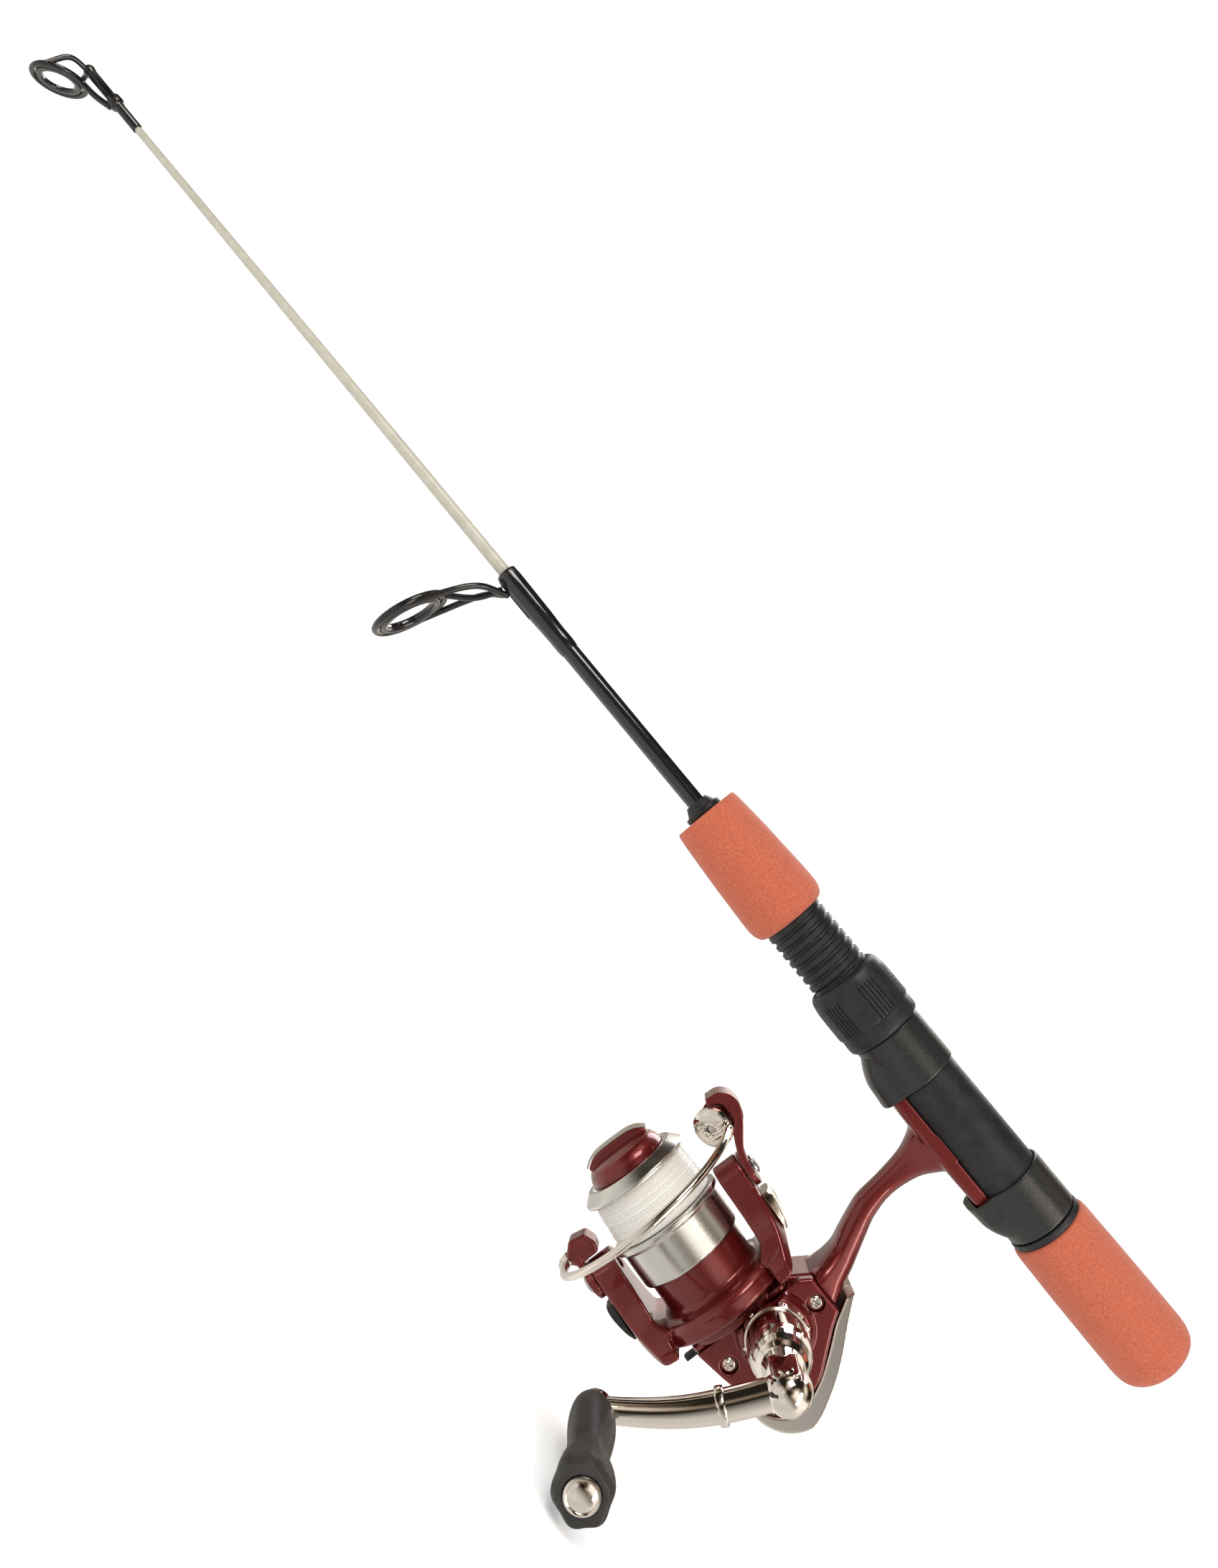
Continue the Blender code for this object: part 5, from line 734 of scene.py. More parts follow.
def stripper_guide():
    ring_r, lean = 11.5 * MM, math.radians(11)
    hold = BUTT_R + GAP
    down = Vector((math.cos(lean), 0, -math.sin(lean)))
    centre = Vector((27.5 * MM, 0, WRAP_X - 8.4 * MM))
    seat = ROD @ towards(centre, down.cross(SIDEWAYS))
    middle = ring_r - 1.0 * MM
    root = Vector((hold + 0.9 * MM, 0, WRAP_X + 3 * MM))
    top = centre - down * middle
    bend = root.lerp(top, 0.45) + Vector((1 * MM, 0, 1.2 * MM))
    parts = [hoop(middle, 1.0 * MM, seat), wire(smooth_path([root, bend, top], 10), 0.9 * MM, ROD)]
    parts.append(
        box((hold + 0.1 * MM, -MM, WRAP_X + 2 * MM), (hold + 0.55 * MM, MM, WRAP_X + 14 * MM), ROD)
    )
    for hand in (-1, 1):
        knee = Vector((hold + 7 * MM, hand * 6.5 * MM, WRAP_X - 1.5 * MM))
        ends = [root + Vector((0, 0, 2 * MM)), knee, centre + SIDEWAYS * hand * middle]
        parts.append(wire(smooth_path(ends, 10), 0.9 * MM, ROD))
    piece(together(*parts), "stripper_guide_frame")
    piece(round_ring(ring_r - 4.6 * MM, ring_r - 2.15 * MM, 1.3 * MM, seat), "stripper_guide_ring")


# ---------------------------------------------------------------- grips and reel seat

REAR_GRIP_X = -43.8 * MM
TRIM_RING_X = REAR_GRIP_X - 2.0 * MM
SEAT_X = TRIM_RING_X - 100.4 * MM
SHOULDER_X = SEAT_X + 53.2 * MM
MOVABLE_HOOD_X = SHOULDER_X - 15.2 * MM
NUT_LENGTH = 17.9 * MM
NUT_X = MOVABLE_HOOD_X - 0.3 * MM - NUT_LENGTH
FORE_GRIP_X = SEAT_X - 36.1 * MM
THREAD_R, PITCH = 8.5 * MM, 2.75 * MM
HOOD_BORE = THREAD_R + 0.2 * MM


def foam_grip(node, points, bore):
    """A turned foam grip, its skin slightly uneven as ground foam is."""
    profile = [(bore, points[0][1]), *flat_path(points, 7)]
    if points[-1][0] > 0:
        profile += [(bore, points[-1][1]), (bore, points[0][1])]
    made = turned(profile, ROD, 160)
    for vert in made.data.vertices:
        axis = Vector((vert.co.x, 0, 0))
        if (vert.co - axis).length > bore + 0.3 * MM:
            grain = noise.noise(vert.co * 90) * 0.10 + noise.noise(vert.co * 900) * 0.035
            vert.co += (vert.co - axis).normalized() * grain * MM
    piece(made, node)


def grips():
    bore = BUTT_R + GAP
    low, high = FORE_GRIP_X, SEAT_X - GAP
    fore = [(8.9, 0.0), (9.25, 0.25), (9.5, 1.0), (9.85, 4.0), (10.4, 12.0), (10.85, 20.0), (11.15, 27.0)]
    fore = mm(fore, low)
    for r, back in ((11.22, 5.0), (11.1, 3.2), (10.7, 1.7), (10.0, 0.6), (9.2, 0.12), (8.4, 0.0)):
        fore.append((r * MM, high - back * MM))
    foam_grip("fore_grip", fore, bore)
    rear = [(10.0, 0.0), (10.45, 0.2), (10.75, 0.8), (10.95, 3.0), (11.1, 12.0), (11.2, 24.0), (11.2, 36.0)]
    rear = mm(rear, REAR_GRIP_X)
    for r, back in ((11.15, 5.5), (10.95, 3.6), (10.4, 1.9), (9.5, 0.75), (8.5, 0.18), (7.6, 0.0), (0, 0)):
        rear.append((r * MM, -back * MM))
    foam_grip("rear_grip", rear, bore)
    trim = ring(bore, 10.2 * MM, TRIM_RING_X + GAP, REAR_GRIP_X - GAP, ROD, 0.35 * MM)
    piece(trim, "hood_trim_ring")
    check = [
        (bore, -4.0), (bore + 0.5 * MM, -4.0), (4.4 * MM, -1.7), (5.35 * MM, -1.4),
        (5.35 * MM, -0.15), (bore, -0.15), (bore, -4.0),
    ]
    check = [(r, FORE_GRIP_X + x * MM) for r, x in check]
    piece(soft_turned(check, 0.3 * MM, ROD, 72), "winding_check")


def reel_seat():
    """The tube with its cut thread. Its shoulder and plain part are turned."""
    bore, sides, per_turn = 6.75 * MM, 96, 18
    rows = []
    thread_end = SHOULDER_X - 1.2 * MM
    count = int((thread_end - SEAT_X) / PITCH * per_turn)
    for k in range(count + 1):
        x = SEAT_X + (thread_end - SEAT_X) * k / count
        fade = min(1, (thread_end - x) / (1.5 * MM), (x - SEAT_X) / (1.0 * MM))
        row = []
        for i in range(sides):
            phase = ((x - SEAT_X) / PITCH - i / sides) % 1.0
            crest = 0.5 - 0.5 * math.cos(2 * math.pi * phase)
            depth = (1 - min(1.0, 1.9 * crest)) ** 0.8 * 0.72 * MM * fade
            r = THREAD_R - depth
            turn = 2 * math.pi * i / sides
            row.append((r * math.cos(turn), r * math.sin(turn), x))
        rows.append(row)
    profile = [(THREAD_R, thread_end + 0.1 * MM), (THREAD_R, SHOULDER_X - 0.2 * MM)]
    profile += [(8.9 * MM, SHOULDER_X + 0.1 * MM), (9.0 * MM, SHOULDER_X + 0.35 * MM)]
    profile += [(9.0 * MM, TRIM_RING_X - 0.3 * MM), (8.85 * MM, TRIM_RING_X - GAP)]
    profile += [(bore, TRIM_RING_X - GAP), (bore, SEAT_X)]
    rows += [circle(r, x, sides) for r, x in profile]
    piece(grid(rows, ROD), "seat_tube", "black_satin")


def hood_nut():
    """The nut: plain panels between groups of fine ribs, a rounded front and a smooth rear band."""
    sides, groups = 360, 6
    stations = [(0.0, 9.3), (0.25, 9.75), (0.8, 10.25), (1.7, 10.62), (2.9, 10.8), (3.3, 10.86)]
    stations += [(3.6, 10.92), (4.0, 10.98), (5.0, 11.05), (8.0, 11.1), (11.0, 11.1), (12.6, 11.1)]
    stations += [(13.1, 11.05), (13.4, 10.9), (13.6, 10.6), (13.9, 10.6), (14.3, 10.72)]
    stations += [(15.5, 10.8), (16.8, 10.78), (17.5, 10.62), (17.9, 10.3)]
    rows = []
    for along, radius in stations:
        depth = 0.42 if 3.5 < along < 13.2 else 0.0
        row = []
        for i in range(sides):
            share = (i / sides * groups) % 1.0
            groove = 0.0
            if share < 0.5:
                groove = max(0.0, math.sin(2 * math.pi * share / 0.1)) ** 0.8
            r = (radius - depth * groove) * MM
            turn = 2 * math.pi * i / sides
            row.append((r * math.cos(turn), r * math.sin(turn), NUT_X + along * MM))
        rows.append(row)
    rows += [circle(HOOD_BORE, x, sides) for x in (NUT_X + NUT_LENGTH, NUT_X)]
    piece(grid(rows, ROD), "hood_nut")


def foot_solid(grow=0.0):
    """The reel foot: a bar with round ends under the seat, thinner towards both ends."""
    half, deep = 24.0 * MM + grow, 11.4 * MM
    rows = []
    for k in range(41):
        share = -1 + k / 20
        taper = 1 - abs(share) ** 3 * 0.45
        width = (6.0 * MM + grow) * math.sqrt(max(0.12, 1 - abs(share) ** 6 * 0.8))
        depth = 9.0 * MM + (deep - 9.0 * MM) * taper + grow
        corner = min(1.2 * MM, 0.3 * width)
        section = [(5.0 * MM, -width), (depth, -width), (depth, width), (5.0 * MM, width)]
        section = rounded(section, [0, corner, corner, 0])
        rows.append([(down, across, -76.6 * MM + share * half) for down, across in section])
    return grid(rows, ROD, closed=False, capped=True)


def hood(node, start, length, bore, mouth, outer):
    """A hood ring with a pocket under it for the reel's foot. mouth is +1 where it opens rearwards."""
    end = start + length
    closed_end, open_end = (start, end) if mouth > 0 else (end, start)
    rows = []
    centre = 4.0 * MM
    shape = [(0.06, 9.0, 5.0), (0.30, 11.2, 6.4), (0.55, 12.7, 7.2), (0.80, 13.1, 7.3), (0.99, 13.4, 7.5)]
    for share, drop, half in smooth_path(shape, 4):
        outline = squarish(drop * MM - centre, half * MM, 0.6)
        x = closed_end + (open_end - closed_end) * share
        rows.append([(centre + d, a, x) for d, a in outline])
    sleeve = disc(outer, start, end, ROD, 0.4 * MM, 96)
    join(sleeve, grid(rows, ROD, closed=False, capped=True))
    past = 1.0 * MM
    cut(sleeve, disc(bore, start - past, end + past, ROD, 0.0, 96), foot_solid(0.35 * MM))
    piece(melted(sleeve, 0.22 * MM, 5), node, "black_hood")


def hoods():
    hood("movable_hood", MOVABLE_HOOD_X, 15.05 * MM, HOOD_BORE, 1, 9.65 * MM)
    hood("fixed_hood", TRIM_RING_X - 14.7 * MM, 14.55 * MM, 9.0 * MM + GAP, -1, 10.0 * MM)


# ---------------------------------------------------------------- reel housing

HALF, FRONT_S, NOSE_S, NOSE_R = 10.0 * MM, 8.2 * MM, 11.6 * MM, 14.2 * MM
COVER_THICKNESS, CASE_WALL = 3.8 * MM, 2.0 * MM
JOINT = HALF - COVER_THICKNESS
SEAM_Z = -54.8 * MM
SCREW_PLACES = {"top": (-68.8 * MM, -58.1 * MM), "front": (-70.6 * MM, -85.2 * MM)}


def body_corners():
    corners = [
        spool_to_world(16.5 * MM, FRONT_S), spool_to_world(-13.2 * MM, FRONT_S),
        (-68.5 * MM, -88.6 * MM), (-56.0 * MM, -85.8 * MM), (-50.4 * MM, -79.0 * MM),
        (-53.6 * MM, -69.0 * MM), (-61.4 * MM, -58.6 * MM), (-66.2 * MM, -50.6 * MM),
        (-73.2 * MM, -53.6 * MM),
    ]
    return corners, [r * MM for r in (2.0, 2.5, 9.0, 8.0, 8.0, 14.0, 14.0, 3.0, 4.0)]


def below(outline, level):
    """The part of an outline under a level, such as the seam between the cover and the stem."""
    kept = []
    for here, after in zip(outline, outline[1:] + outline[:1]):
        if here[1] <= level:
            kept.append(here)
        if (here[1] <= level) != (after[1] <= level):
            share = (level - here[1]) / (after[1] - here[1])
            kept.append((here[0] + share * (after[0] - here[0]), level))
    return kept


def stem():
    shape = smooth_path([
        (-74.2, -64.0, -54.65), (-74.3, -65.3, -52.2), (-74.6, -66.2, -49.6), (-75.4, -67.4, -46.0),
        (-77.0, -69.0, -42.5), (-79.0, -71.5, -37.5), (-80.4, -73.6, -33.0), (-81.0, -75.1, -26.0),
        (-82.2, -74.2, -18.0), (-84.2, -71.8, -13.0), (-86.0, -70.2, -10.6),
    ], 4)
    halves = smooth_path([
        (9.5, 0.5, 0), (8.9, 0.55, 0), (7.8, 0.65, 0), (6.3, 0.75, 0), (5.2, 0.8, 0), (4.3, 0.8, 0),
        (3.9, 0.8, 0), (3.6, 0.8, 0), (4.0, 0.8, 0), (5.0, 0.8, 0), (5.6, 0.8, 0),
    ], 4)
    rows = []
    for (front_x, rear_x, level), (half, power, _) in zip(shape, halves):
        middle, reach = (front_x + rear_x) / 2 * MM, (rear_x - front_x) / 2 * MM
        section = squarish(reach, half * MM, power, 40)
        rows.append([(middle + along, level * MM, across) for along, across in section])
    return grid(rows, SIDE, closed=False, capped=True)


def housing():
    corners, radii = body_corners()
    far = -HALF
    case = plate(corners, far, JOINT, SIDE, radii, 1.2 * MM)
    front = mm([(16.1, -9.7), (16.1, 9.7), (-12.9, 9.7), (-12.9, -9.7)])
    wall = plate(front, FRONT_S - 1.7 * MM, FRONT_S - 0.1 * MM, SPOOL, 2.4 * MM)
    nose = disc(NOSE_R, FRONT_S - 1.2 * MM, NOSE_S, SPOOL, 0.6 * MM, 96)
    join(case, wall, nose, stem(), foot_solid())
    saddle = disc(9.3 * MM, -110 * MM, -40 * MM, ROD, 0.0, 96)
    cavity = plate(
        offset(corners, -CASE_WALL), far + 2.2 * MM, JOINT + 1 * MM, SIDE,
        [max(0.5 * MM, r - CASE_WALL) for r in radii],
    )
    cut(case, saddle, cavity)
    cut(
        case,
        disc(NOSE_R - 1.4 * MM, FRONT_S - 0.2 * MM, NOSE_S - 1.8 * MM, SPOOL, 0.0, 96),
        box((-12.7 * MM, -6 * MM, FRONT_S - 3.5 * MM), (7.5 * MM, 6 * MM, FRONT_S + 0.5 * MM), SPOOL),
        disc(4.5 * MM + GAP, NOSE_S - 3 * MM, NOSE_S + 2 * MM, SPOOL),
        disc(9.1 * MM, -5.7 * MM, -1.8 * MM, CRANK, 0.0, 96),
        disc(4.0 * MM + GAP, far - 2 * MM, 0, CRANK),
        box((-19 * MM, -4.2 * MM, 2.8 * MM), (-8.5 * MM, 4.2 * MM, 5.6 * MM), SPOOL),
    )
    piece(melted(case, 0.3 * MM, 5), "reel_housing")


def side_cover():
    corners, radii = body_corners()
    cover = plate(below(shrunk(corners, radii, 0.0), SEAM_Z), JOINT + GAP, HALF, SIDE, 0.0, 0.9 * MM)
    boss = [(0, 7.2), (10.2, 7.2), (10.2, 10.2), (9.9, 11.6), (9.4, 12.4), (8.6, 13.4), (0, 13.4)]
    join(cover, soft_turned(mm(boss), 0.3 * MM, CRANK))
    inner = below(shrunk(corners, radii, 2.5 * MM), SEAM_Z - 2.0 * MM)
    cut(cover, plate(inner, JOINT - 1 * MM, HALF - 1.8 * MM, SIDE))
    posts, wells = [], []
    for place in SCREW_PLACES.values():
        posts.append(disc(3.1 * MM, JOINT + 0.4 * MM, HALF - 1.0 * MM, SIDE @ at(*place)))
        well = [(0, 3.2), (1.25, 3.2), (1.25, 8.0), (2.35, 8.0), (2.35, 13.0), (0, 13.0)]
        wells.append(turned(mm(well), SIDE @ at(*place), 48))
    front_cut = box((-40 * MM, -40 * MM, FRONT_S - 1.9 * MM), (40 * MM, 40 * MM, 40 * MM), SPOOL)
    join(cover, *posts)
    cut(cover, disc(4.0 * MM + GAP, 0, 30 * MM, CRANK), front_cut, *wells)
    piece(melted(cover, 0.22 * MM, 4), "side_cover")
    for end, place in SCREW_PLACES.items():
        head = [(0, -1.8), (0.85, -1.8), (0.85, 8.2), (2.1, 8.2), (2.1, 9.0), (1.4, 9.5), (0, 9.6)]
        screw = soft_turned(mm(head), 0.2 * MM, SIDE @ at(*place), 40)
        slots = []
        for turn in (28.6, 118.6):
            slot_place = SIDE @ at(*place) @ spin(turn, "Z")
            slots.append(box((-1.2 * MM, -0.25 * MM, 8.9 * MM), (1.2 * MM, 0.25 * MM, 11 * MM), slot_place))
        piece(cut(screw, *slots), f"cover_screw_{end}")


def rear_trim():
    inner = [
        (-60.0, -87.3), (-55.2, -85.9), (-51.6, -82.9), (-50.0, -79.0), (-50.9, -74.8),
        (-53.5, -69.0), (-57.2, -63.4), (-61.6, -57.3), (-64.6, -51.4),
    ]
    outer = [
        (-60.6, -88.6), (-54.0, -88.2), (-48.6, -85.2), (-45.4, -80.0), (-45.9, -75.4),
        (-49.6, -67.6), (-54.2, -61.0), (-59.4, -54.8), (-64.2, -48.6),
    ]
    lines = [mm(flat_path(line, 5)) for line in (outer, inner)]
    half = HALF - 1.4 * MM
    trim = plate(lines[0] + lines[1][::-1], -half, half, SIDE)
    piece(melted(trim, 0.25 * MM, 8), "rear_trim")


# ---------------------------------------------------------------- rotor and bail

ARM_OUT, ARM_IN, ARM_TIP_R, ARM_ROOT = 24.0 * MM, 16.9 * MM, 5.2 * MM, 14.6 * MM
REAR_S, ROLLER_HALF = 9.2 * MM, 2.5 * MM
INNER = ARM_OUT + GAP
PLATE, ARM_SWELL = 2.0 * MM, 1.7 * MM
PIVOT_BORE_R = 1.5 * MM
ROLLER_AXIS = Vector((0.5, math.cos(math.radians(30)), 0))
HUB_S = 42.4 * MM - BAIL_PIVOT_S
FACE_UP = spin(90, "X")


def rotor():
    front, bore, recess = NOSE_S + MM, 2.35 * MM, NOSE_R + 0.6 * MM
    profile = [
        (bore, front), (recess, front), (recess, REAR_S), (recess + MM, REAR_S),
        (18.8 * MM, REAR_S + 1.6 * MM), (18.8 * MM, front + 1.6 * MM), (17.6 * MM, front + 3.2 * MM),
        (14.6 * MM, front + 3.6 * MM), (13.4 * MM, front + 4.6 * MM), (13.4 * MM, 33 * MM),
        (12.5 * MM, 33 * MM), (12.5 * MM, front + 2.0 * MM), (6 * MM, front + 2.0 * MM),
        (6 * MM, front + 4.2 * MM), (bore, front + 4.2 * MM), (bore, front),
    ]
    cup = turned(profile, SPOOL, 128)
    top, low = BAIL_PIVOT_S + ARM_TIP_R, REAR_S + 0.1 * MM
    for hand in (1, -1):
        side = [
            (15.6 * MM, low), (20.3 * MM, low + 0.4 * MM), (ARM_OUT, low + 8.0 * MM),
            (ARM_OUT, top + MM), (ARM_IN, top + MM), (ARM_IN, front + 6.2 * MM),
            (14.2 * MM, front + 3.0 * MM), (15.6 * MM, front + 1.4 * MM),
        ]
        arm = plate(
            [(hand * up, s) for up, s in side], -ARM_ROOT - MM, ARM_ROOT + MM, SPOOL @ FACE_UP,
            [0, 6 * MM, 6 * MM, 0, 0, 2.5 * MM, 0, 0],
        )
        edge = [(ARM_ROOT, low - MM), (ARM_ROOT - 0.6 * MM, 12.5 * MM), (11.8 * MM, 16 * MM)]
        edge += [(8.8 * MM, 20 * MM), (6.7 * MM, 25 * MM), (ARM_TIP_R + 0.3 * MM, 30 * MM)]
        edge = flat_path(edge)
        turns = [math.pi * k / 24 for k in range(25)]
        tip = [(ARM_TIP_R * math.cos(t), BAIL_PIVOT_S + ARM_TIP_R * math.sin(t)) for t in turns]
        outline = edge + tip + [(-y, s) for y, s in edge[::-1]]
        face_on = Matrix(((0, 0, 1, 0), (1, 0, 0, 0), (0, 1, 0, 0), (0, 0, 0, 1)))
        reach = sorted((hand * 12 * MM, hand * 30 * MM))
        turning_room = disc(ARM_OUT + 0.4 * MM, 0, 50 * MM, SPOOL, 0, 128)
        boolean(arm, "INTERSECT", [plate(outline, *reach, SPOOL @ face_on), turning_room])
        cut(arm, disc(PIVOT_BORE_R, -30 * MM, 30 * MM, BAIL @ spin(90, "Y"), 0, 32))
        join(cup, arm)
    piece(melted(cup, 0.25 * MM, 24), "rotor")


def arm_covers():
    low, high = REAR_S + 7.6 * MM, BAIL_PIVOT_S - 6.6 * MM
    shape = [(0.0, 0.6, 4.6), (0.25, 1.5, 5.6), (0.6, 2.4, 5.2), (0.85, 2.6, 4.7), (1.0, 2.2, 4.2)]
    for end, hand in (("upper", 1), ("lower", -1)):
        rows = []
        for share, rise, half in smooth_path(shape, 5):
            section = [(0, -half), (rise * 0.8, -half * 0.93), (rise, -half * 0.5)]
            section += [(rise, half * 0.5), (rise * 0.8, half * 0.93), (0, half)]
            section = rounded(section, [0, 0.5, 1.2, 1.2, 0.5, 0])
            s = low + (high - low) * share
            rows.append([(hand * (INNER + up * MM), y * MM, s) for up, y in section])
        piece(edged(grid(rows, SPOOL, closed=False, capped=True), 0.25 * MM), f"arm_cover_{end}")


def roller_point(along):
    return Vector((25.9 * MM, -1.6 * MM, 48.6 * MM - BAIL_PIVOT_S)) + ROLLER_AXIS * along


def bail_arm():
    line = [(1.15, -1.0), (1.15, 2.0), (2.6, 6.5), (5.6, 12.5), (6.6, 16.5), (5.4, 19.4), (2.2, 20.6)]
    path = flat_path([(INNER + up * MM, s * MM) for up, s in line], 6)
    outer_side = []
    for k, (here, out_by) in enumerate(zip(path, offset(path, 1.0, closed=False))):
        beyond_screw = max(0.0, (k / (len(path) - 1) - 0.3) / 0.7)
        swell = max(0.0, math.sin(math.pi * beyond_screw)) ** 1.5
        reach = PLATE / 2 + ARM_SWELL * swell
        outer_side.append(tuple(a + (b - a) * reach for a, b in zip(here, out_by)))
    band = outer_side + offset(path, -PLATE / 2, closed=False)[::-1]
    arm = plate(band, -4.6 * MM, 4.6 * MM, BAIL @ FACE_UP)
    seat = BAIL @ towards(roller_point(0), ROLLER_AXIS)
    across = BAIL @ spin(90, "Y")
    gap = [(0, -6.1), (5.8, -6.1), (5.8, -2.3), (4.9, -2.3), (4.9, 2.65), (1.3, 2.65)]
    gap += [(1.3, 8.5), (0, 8.5)]
    join(
        arm, disc(5.0 * MM, INNER + 0.1 * MM, INNER + 1.8 * MM, across),
        disc(5.4 * MM, ROLLER_HALF - 0.6 * MM, ROLLER_HALF + 2.4 * MM, seat),
    )
    cut(arm, turned(mm(gap), seat, 64), disc(PIVOT_BORE_R, 20 * MM, 32 * MM, across))
    piece(melted(arm, 0.18 * MM, 4), "bail_arm")
    groove = [(1.35, -2.5), (4.0, -2.5), (3.7, -1.9), (3.0, -0.6), (3.0, 0.8), (3.7, 1.9), (4.0, 2.5)]
    groove += [(1.35, 2.5), (1.35, -2.5)]
    piece(soft_turned(mm(groove), 0.25 * MM, seat), "line_roller")
    piece(disc(1.15 * MM, -4.4 * MM, 4.0 * MM, seat, 0.15 * MM, 40), "roller_screw")
    screw = [(0, ARM_IN + 0.8 * MM), (1.35 * MM, ARM_IN + 0.8 * MM), (1.35 * MM, INNER + 2.4 * MM)]
    screw += [(2.6 * MM, INNER + 2.4 * MM), (2.5 * MM, INNER + 3.0 * MM), (1.9 * MM, INNER + 3.35 * MM)]
    screw.append((0, INNER + 3.4 * MM))
    for end, hand in (("upper", 1), ("lower", -1)):
        place = BAIL @ spin(hand * 90, "Y")
        made = soft_turned(screw, 0.15 * MM, place, 48)
        slot = box((-3 * MM, -0.3 * MM, INNER + 2.9 * MM), (3 * MM, 0.3 * MM, INNER + 5 * MM), place)
        piece(cut(made, slot), f"pivot_screw_{end}")


def bail_wire():
    loop = []
    for k in range(37):
        turn = math.radians(22 + 150 * k / 36)
        reach = (28.0 + 9.2 * math.sin(turn) ** 1.6) * MM
        forward = (47.4 - 5.0 * k / 36) * MM - BAIL_PIVOT_S
        loop.append((reach * math.cos(turn), -reach * math.sin(turn), forward))
    behind = Vector((0, 0, -1.6 * MM))
    start = [roller_point(-ROLLER_HALF - 1.2 * MM) + behind, roller_point(-ROLLER_HALF - 3.6 * MM) + behind]
    hooked = [(-29.6, -1.8, HUB_S / MM), (-29.2, 0, HUB_S / MM), (-27.2, 0, HUB_S / MM)]
    hooked += [(-24.0, 0, HUB_S / MM)]
    path = smooth_path(start + loop + [Vector(p) * MM for p in hooked], 3)
    bar = wire(path, 1.05 * MM, BAIL, 28)
    seat = BAIL @ towards(roller_point(0), ROLLER_AXIS)
    plate_profile = [(1.3, -4.75), (1.9, -4.9), (2.0, -4.86), (2.1, -4.72), (2.35, -4.72), (2.5, -4.86)]
    plate_profile += [(3.8, -4.76), (4.9, -4.40), (5.5, -3.9), (5.5, -3.0), (5.2, -2.7), (1.3, -2.7)]
    plate_profile.append(plate_profile[0])
    end_plate = turned(mm(plate_profile), seat, 96)
    ferrule = [(1.05, 27.2), (1.9, 27.25), (2.0, 27.5), (1.25, 29.9), (1.05, 30.1), (1.05, 27.2)]
    hub_place = BAIL @ at(0, 0, HUB_S) @ spin(-90, "Y")
    tip = turned(mm(ferrule), hub_place, 48)
    piece(together(bar, end_plate, tip), "bail_wire")


def bail_hub():
    across = BAIL @ spin(90, "Y")
    lug = disc(4.8 * MM, -INNER - PLATE, -INNER, across)
    strap = box((-INNER - 1.8 * MM, -3.9 * MM, 0), (-INNER - 0.1 * MM, 3.9 * MM, HUB_S), BAIL)
    outline = [
        (-19.2 * MM, 6.1 * MM), (-26.8 * MM, 6.1 * MM), (-27.0 * MM, HUB_S + 1.6 * MM),
        (-24.4 * MM, HUB_S + 4.4 * MM), (-19.8 * MM, HUB_S + 3.6 * MM), (-18.6 * MM, HUB_S + 0.5 * MM),
    ]
    block = plate(outline, -3.6 * MM, 3.6 * MM, BAIL @ FACE_UP, 1.4 * MM, 0.8 * MM)
    join(lug, strap, block)
    hub_place = BAIL @ at(0, 0, HUB_S) @ spin(-90, "Y")
    wire_bore = disc(1.2 * MM, 23.6 * MM, 32 * MM, hub_place)
    cut(lug, wire_bore, disc(PIVOT_BORE_R, -32 * MM, -20 * MM, across))
    piece(melted(lug, 0.18 * MM, 4), "bail_hub")


# ---------------------------------------------------------------- spool and drag

DRUM_REAR, DRUM_FRONT, LIP_R, LINE_R = 37.6 * MM, 50.0 * MM, 15.5 * MM, 14.3 * MM


def spool():
    web, skirt_in, bore = DRUM_REAR - 1.5 * MM, 13.95 * MM, 1.32 * MM
    profile = [
        (skirt_in, 25.5 * MM), (14.5 * MM, 25.5 * MM), (14.8 * MM, 26.1 * MM), (14.8 * MM, web - 0.8 * MM),
        (16.2 * MM, web + 0.2 * MM), (16.2 * MM, DRUM_REAR), (10 * MM, DRUM_REAR), (10 * MM, DRUM_FRONT),
        (LIP_R, DRUM_FRONT), (LIP_R, DRUM_FRONT + MM), (13.0 * MM, DRUM_FRONT + 3.4 * MM),
        (11.7 * MM, DRUM_FRONT + 3.4 * MM), (11.5 * MM, DRUM_FRONT + 2.3 * MM),
        (9.6 * MM, DRUM_FRONT + 2.3 * MM),
        (9.6 * MM, 46 * MM), (bore, 46 * MM), (bore, web - MM), (5 * MM, web - MM), (5 * MM, web),
        (skirt_in, web), (skirt_in, 25.5 * MM),
    ]
    piece(soft_turned(profile, 0.32 * MM, SPOOL, 160), "spool")
    low, high, turns = DRUM_REAR + GAP, DRUM_FRONT - GAP, 38
    outline = [(10.15 * MM, low)]
    count = turns * 8
    for k in range(count + 1):
        share = k / count
        base = LINE_R + (0.35 - 0.9 * share) * MM
        ripple = abs(math.sin(math.pi * turns * share))
        uneven = 0.18 * noise.noise(Vector((share * 9, 0.3, 0)))
        outline.append((base + (0.13 * ripple - 0.13 + uneven) * MM, low + (high - low) * share))
    outline += [(10.15 * MM, high), (10.15 * MM, low)]
    piece(turned(outline, SPOOL, 120, 80), "wound_line")


